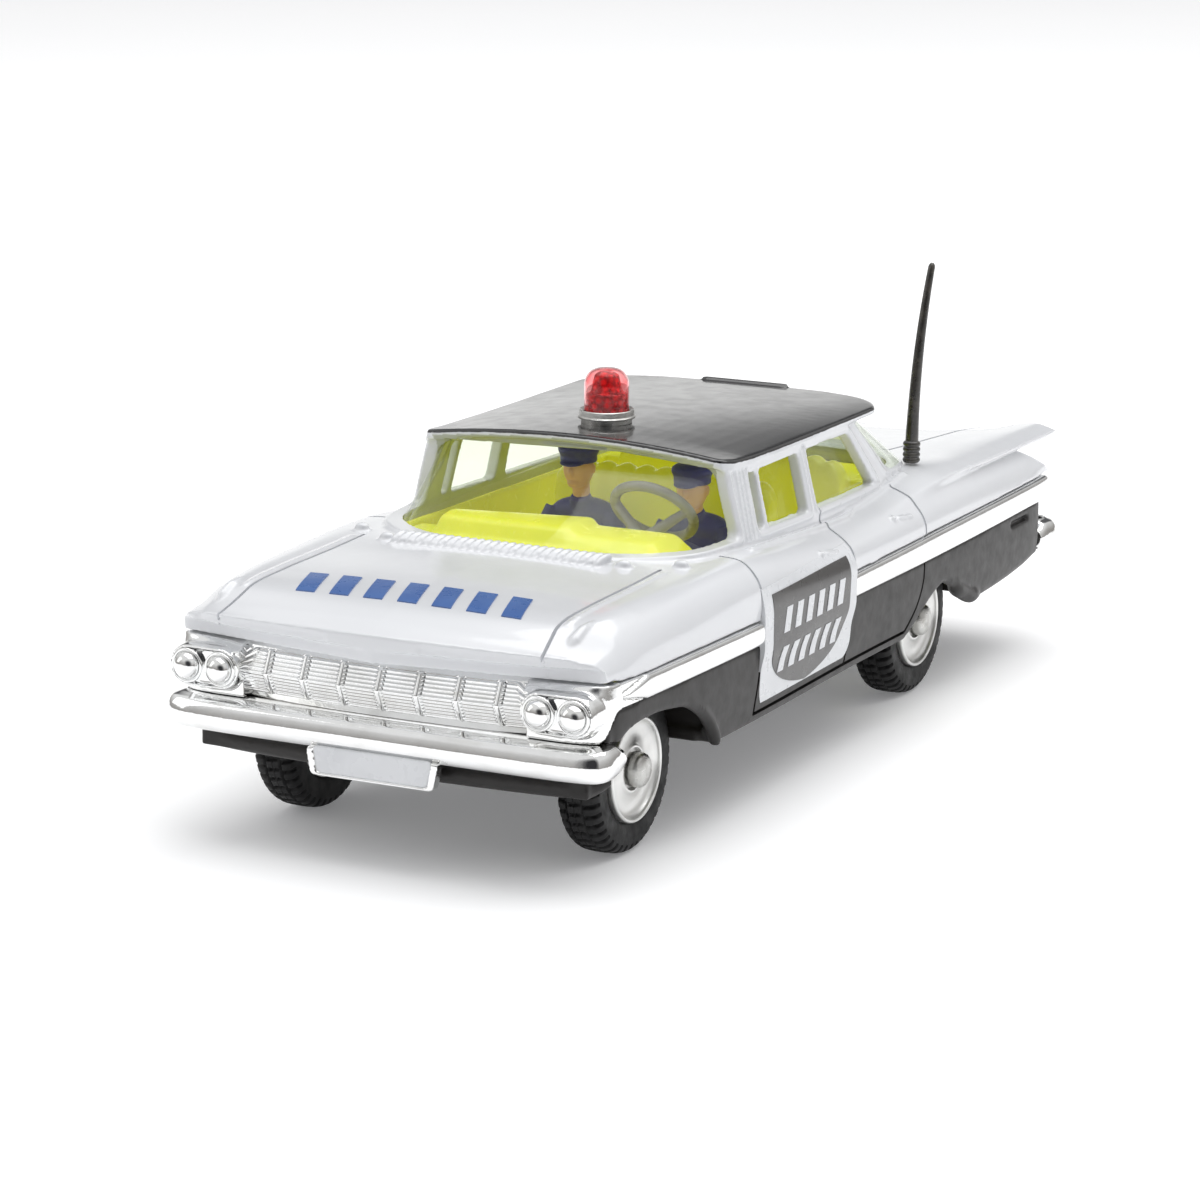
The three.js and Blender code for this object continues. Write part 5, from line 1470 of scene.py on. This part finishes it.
def beacon():
    """A faceted red core under a clear red dome, in a turned steel collar."""
    place = Matrix.Translation((0, BEACON_Y, ROOF_Z))
    ring = [(2.15, 0.0), (2.4, 0.0), (2.42, 0.42), (2.7, 0.46), (2.72, 0.6), (2.6, 0.72), (2.58, 1.2),
            (2.5, 1.27), (2.4, 1.22), (2.15, 1.1), (2.15, 0.0)]
    collar = moved(lathe(ring, 96), place)
    piece(collar, "beacon_collar", turned_steel(), replaces=["beacon_ring"], crisp=35)
    core = [(0, 0.02), (1.98, 0.02), (1.98, 2.5), (1.92, 2.75), (1.6, 2.85), (1.42, 3.3), (1.2, 4.2),
            (1.1, 4.5), (0.7, 4.72), (0, 4.75)]
    core = moved(lathe(spline(core, 6, crease=creases(*[0.7] * 10)), 64), place)
    piece(core, "beacon_core", beacon_core(), crisp=40)
    outer = spline([(2.1, 0.02), (2.1, 1.2), (2.1, 3.5), (1.97, 4.2), (1.55, 4.78), (0.9, 5.06),
                    (0, 5.12)], 5)
    inner = [(max(r - 0.1, 0), z - 0.1) for r, z in outer[::-1] if z > 0.3]
    shell = moved(lathe([*outer, *inner, (2.02, 0.02), outer[0]], 72), place)
    piece(shell, "beacon_dome", beacon_shell(), replaces=["beacon_lens"], crisp=60)


def aerial():
    """A whip that tapers from a ribbed foot, leaning slightly back."""
    dark = Finish("aerial plastic", (0.016, 0.014, 0.012), Coat_Weight=0.5, Coat_Roughness=0.1)
    dark.speckle(900, 4, (0.45, 0.7), (0.05, 0.044, 0.036))
    dark.sheen(1500, 3, (0.3, 0.7), (0.2, 0.4))
    dark.grain(2200, 3, 0.00006, 0.6)
    t = np.concatenate([np.linspace(0, 0.12, 60), np.linspace(0.125, 0.98, 60), [0.99, 0.997, 1.0]])
    x, y, z = 16.3 + 0.7 * t * t, 24.4 + 2.6 * t * t, AERIAL_FOOT_Z + (AERIAL_TIP_Z - AERIAL_FOOT_Z) * t
    ribs = 0.72 + 0.16 * np.abs(np.sin(math.pi * t / 0.027)) ** 0.7
    tip = np.where(t > 0.985, np.sqrt(np.clip((1.003 - t) / 0.018, 0.05, 1)), 1)
    radius = np.where(t < 0.108, ribs, 0.69 - 0.35 * t) * tip
    whip = tube(np.stack([x, y, z], -1), radius, 24)
    return piece(whip, "whip_aerial", dark.material, replaces=["aerial"])


# ---- Markings ----
DECAL_LIFT = 0.06
HALF_WIDTH = 22.095  # nothing on the doors goes past this


def side_face(y, z):
    """Outermost half width of the door at a place seen from the side, over body, spear and lower flank."""
    upper, spear = surface_x(y, z), side_x(y) + 0.44
    lower = side_x(y) - 0.06 * np.clip(13.2 - z, 0, 3) ** 1.2 - 0.35 * np.clip(10.4 - z, 0, 2) ** 1.5
    face = np.where(z > spear_top(y), upper, lower)
    reach, low, high = 2.6, spear_bottom(y), spear_top(y)
    over = ease(z, low - reach, low) * (1 - ease(z, high, high + reach))
    return face + (np.maximum(spear, face) - face) * over


def patch(rows, side, lift):
    """A thin patch that lies on the door. rows are (z, y from, y to)."""
    rings = []
    for z, y0, y1 in rows:
        y = np.linspace(y0, y1, 48)
        x = side_face(y, np.full_like(y, z))
        over = x + np.minimum(lift, (HALF_WIDTH - x) * lift / (DECAL_LIFT * 3.2))
        face = np.stack([side * over, y, np.full_like(y, z)], -1)
        back = np.stack([side * (x - 0.9), y, np.full_like(y, z)], -1)[::-1]
        rings.append(np.concatenate([face, back]))
    return loft("patch", rings)


def marking(name, colour, shade, **sockets):
    """Thin printed ink."""
    ink = Finish(name, colour, **sockets)
    ink.speckle(300, 3, (0.4, 0.7), shade)
    ink.sheen(900, 3, (0.3, 0.7), (0.24, 0.36))
    ink.grain(260, 2, 0.00001, 0.3)
    return ink.material


def door_shields():
    """A white panel on each front door with a plain heater shield and two rows of blocks."""
    white = marking("white marking", (0.70, 0.715, 0.74), (0.67, 0.685, 0.71), Coat_Weight=0.3)
    dark = marking("dark marking", (0.042, 0.04, 0.039), (0.052, 0.05, 0.048), Coat_Weight=0.3)
    top, bottom, left, right = 20.7, 9.55, -21.9, -0.85
    rows = []
    for z in stations((bottom, 11.8, 0.08), (11.8, top, 0.2)):
        t = np.clip((11.8 - z) / (11.8 - bottom), 0, 1)
        cut = 1 - math.sqrt(1 - min(t, 0.999) ** 2)
        rows.append((z, left + 1.6 * cut, right - 3.4 * cut - 0.05 * (top - z)))
    middle, half, head, foot = -11.2, 8.8, 19.9, 10.2
    field = []
    for z in stations((foot, 11.5, 0.06), (11.5, head, 0.2)):
        t = (head - z) / (head - foot)
        width = half * max(1 - t ** 6, 0.003) ** 0.75
        field.append((z, middle - width - 0.03 * (head - z), middle + width - 0.08 * (head - z)))
    for side, word in ((1, "left"), (-1, "right")):
        piece(patch(rows, side, DECAL_LIFT), f"door_panel_{word}", white, crisp=35)
        piece(patch(field, side, DECAL_LIFT * 2), f"door_shield_{word}", dark, crisp=35)
        blocks = []
        for low, start in ((15.9, -17.9), (12.3, -18.5)):
            for y in start + 2.4 * np.arange(6):
                rise = np.linspace(0, 2.3, 14)
                slanted = [(low + dz, y + 0.28 * dz, y + 1.25 + 0.28 * dz) for dz in rise]
                blocks.append(patch(slanted, side, DECAL_LIFT * 3))
        piece(together("blocks", blocks), f"door_blocks_{word}", white, crisp=35)


def bonnet_marking():
    """A row of slanted blue blocks across the bonnet."""
    blue = marking("blue marking", (0.05, 0.125, 0.36), (0.065, 0.15, 0.4), Coat_Weight=0.4)
    blocks = []
    for i in range(7):
        x0 = -11.3 + i * 3.4
        rings = []
        for y in np.linspace(-49.0, -44.0, 22):
            x = np.linspace(x0, x0 + 1.9, 12) - 0.3 * (y + 46.5)
            ahead = y - nose_back(x, np.full_like(x, y))
            top = on_top(x, ahead, 0.1)
            rings.append(np.concatenate([top, on_top(x, ahead, -0.2)[::-1]]))
        blocks.append(loft("block", rings))
    return piece(together("blocks", blocks), "bonnet_blocks", blue, crisp=35)


def small_metal():
    """Rivets and springs keep their frame shapes and get worn steel."""
    steel = turned_steel()
    for name in ("front_spring", "rear_spring", "rivet_front", "rivet_rear"):
        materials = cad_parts[name].data.materials
        materials.clear()
        materials.append(steel)


upper_body()
lower_body()
grille()
lamp_housings()
headlamps()
side_spears()
rear_cross_bar()
front_bumper()
rear_bumper()
tail_lamps()
wheels()
glazing()
interior()
steering_wheel()
figures()
beacon()
aerial()
door_shields()
bonnet_marking()
small_metal()
# ---- END OF PIECES ----


# ---- Floor, light and camera ----
FLOOR_REACH = 4000
CAMERA_SIDE = (0.42, -0.86, 0.28)
BACKDROP_SIDE = (-0.44, 0.9, 0.25)


def stage():
    floor_mesh = block(-FLOOR_REACH, FLOOR_REACH, -FLOOR_REACH, FLOOR_REACH, -40, 0)
    floor_mesh.name = "floor"
    floor_mesh.data.transform(Matrix.Scale(MM, 4))
    paper = Finish("pale floor", (0.93, 0.93, 0.935), Roughness=0.75, Emission_Color=(0.97, 0.98, 1, 1),
                   Emission_Strength=0.17)
    paper.speckle(6, 3, (0.4, 0.7), (0.915, 0.918, 0.925))
    floor_mesh.data.materials.append(paper.material)


def area_light(name, place, target, size, power):
    data = bpy.data.lights.new(name, "AREA")
    data.shape = "RECTANGLE"
    data.size, data.size_y = size
    data.energy = power
    lamp = bpy.data.objects.new(name, data)
    bpy.context.scene.collection.objects.link(lamp)
    lamp.location = place
    lamp.rotation_euler = (Vector(target) - Vector(place)).to_track_quat("-Z", "Y").to_euler()


def studio():
    """White surroundings, a backdrop with an upper edge, and a dark patch where a photographer stands."""
    world = bpy.data.worlds.new("studio")
    bpy.context.scene.world = world
    world.use_nodes = True
    nodes, links = world.node_tree.nodes, world.node_tree.links
    direction = nodes.new("ShaderNodeTexCoord").outputs["Generated"]

    def faded(source, low, high, start, end):
        """A colour that turns from start to end as source goes from low to high."""
        share, shade = nodes.new("ShaderNodeMapRange"), nodes.new("ShaderNodeMix")
        share.inputs["From Min"].default_value, share.inputs["From Max"].default_value = low, high
        shade.data_type = "RGBA"
        links.new(source, share.inputs["Value"])
        links.new(share.outputs["Result"], shade.inputs[0])
        for socket, value in ((shade.inputs[6], start), (shade.inputs[7], end)):
            if isinstance(value, tuple):
                socket.default_value = (*value, 1)
            else:
                links.new(value, socket)
        return shade.outputs[2]

    def towards(side):
        """1 in the direction of a side, and less away from it."""
        dot = nodes.new("ShaderNodeVectorMath")
        dot.operation = "DOT_PRODUCT"
        dot.inputs[1].default_value = Vector(side).normalized()
        links.new(direction, dot.inputs[0])
        return dot.outputs["Value"]

    split = nodes.new("ShaderNodeSeparateXYZ")
    links.new(direction, split.inputs[0])
    up = split.outputs["Z"]
    room = faded(up, 0.02, 0.55, (0.40, 0.385, 0.37), (1.0, 1.0, 1.0))
    backdrop = faded(up, 0.17, 0.31, (1.25, 1.25, 1.24), (0.14, 0.14, 0.145))
    lit = faded(towards(BACKDROP_SIDE), 0.80, 0.9, room, backdrop)
    seen = faded(towards(CAMERA_SIDE), 0.8, 0.96, lit, (0.05, 0.05, 0.055))
    links.new(seen, nodes["Background"].inputs["Color"])
    nodes["Background"].inputs["Strength"].default_value = 0.8
    area_light("top", (0.06, 0.12, 0.6), (0, 0, 0), (0.7, 0.7), 3.1)
    area_light("left", (-0.6, -0.35, 0.35), (0, 0, 0.02), (0.4, 0.5), 0.5)


def camera():
    """A long lens ahead of the car's left front corner, looking slightly down on it."""
    data = bpy.data.cameras.new("camera")
    data.sensor_width = 36
    data.lens = 124.53
    data.shift_x, data.shift_y = 0.0062, 0.0268
    data.clip_start, data.clip_end = 0.01, 20
    view = bpy.data.objects.new("camera", data)
    bpy.context.scene.collection.objects.link(view)
    place, target = Vector((0.17419, -0.35005, 0.10619)), Vector((0, -0.01299, 0.01235))
    aim = (target - place).to_track_quat("-Z", "Y").to_matrix()
    view.matrix_world = Matrix.Translation(place) @ (aim @ Matrix.Rotation(0.0038, 3, "Z")).to_4x4()
    bpy.context.scene.camera = view


stage()
studio()
camera()
bpy.context.scene.view_settings.view_transform = "Standard"

bpy.context.view_layer.update()
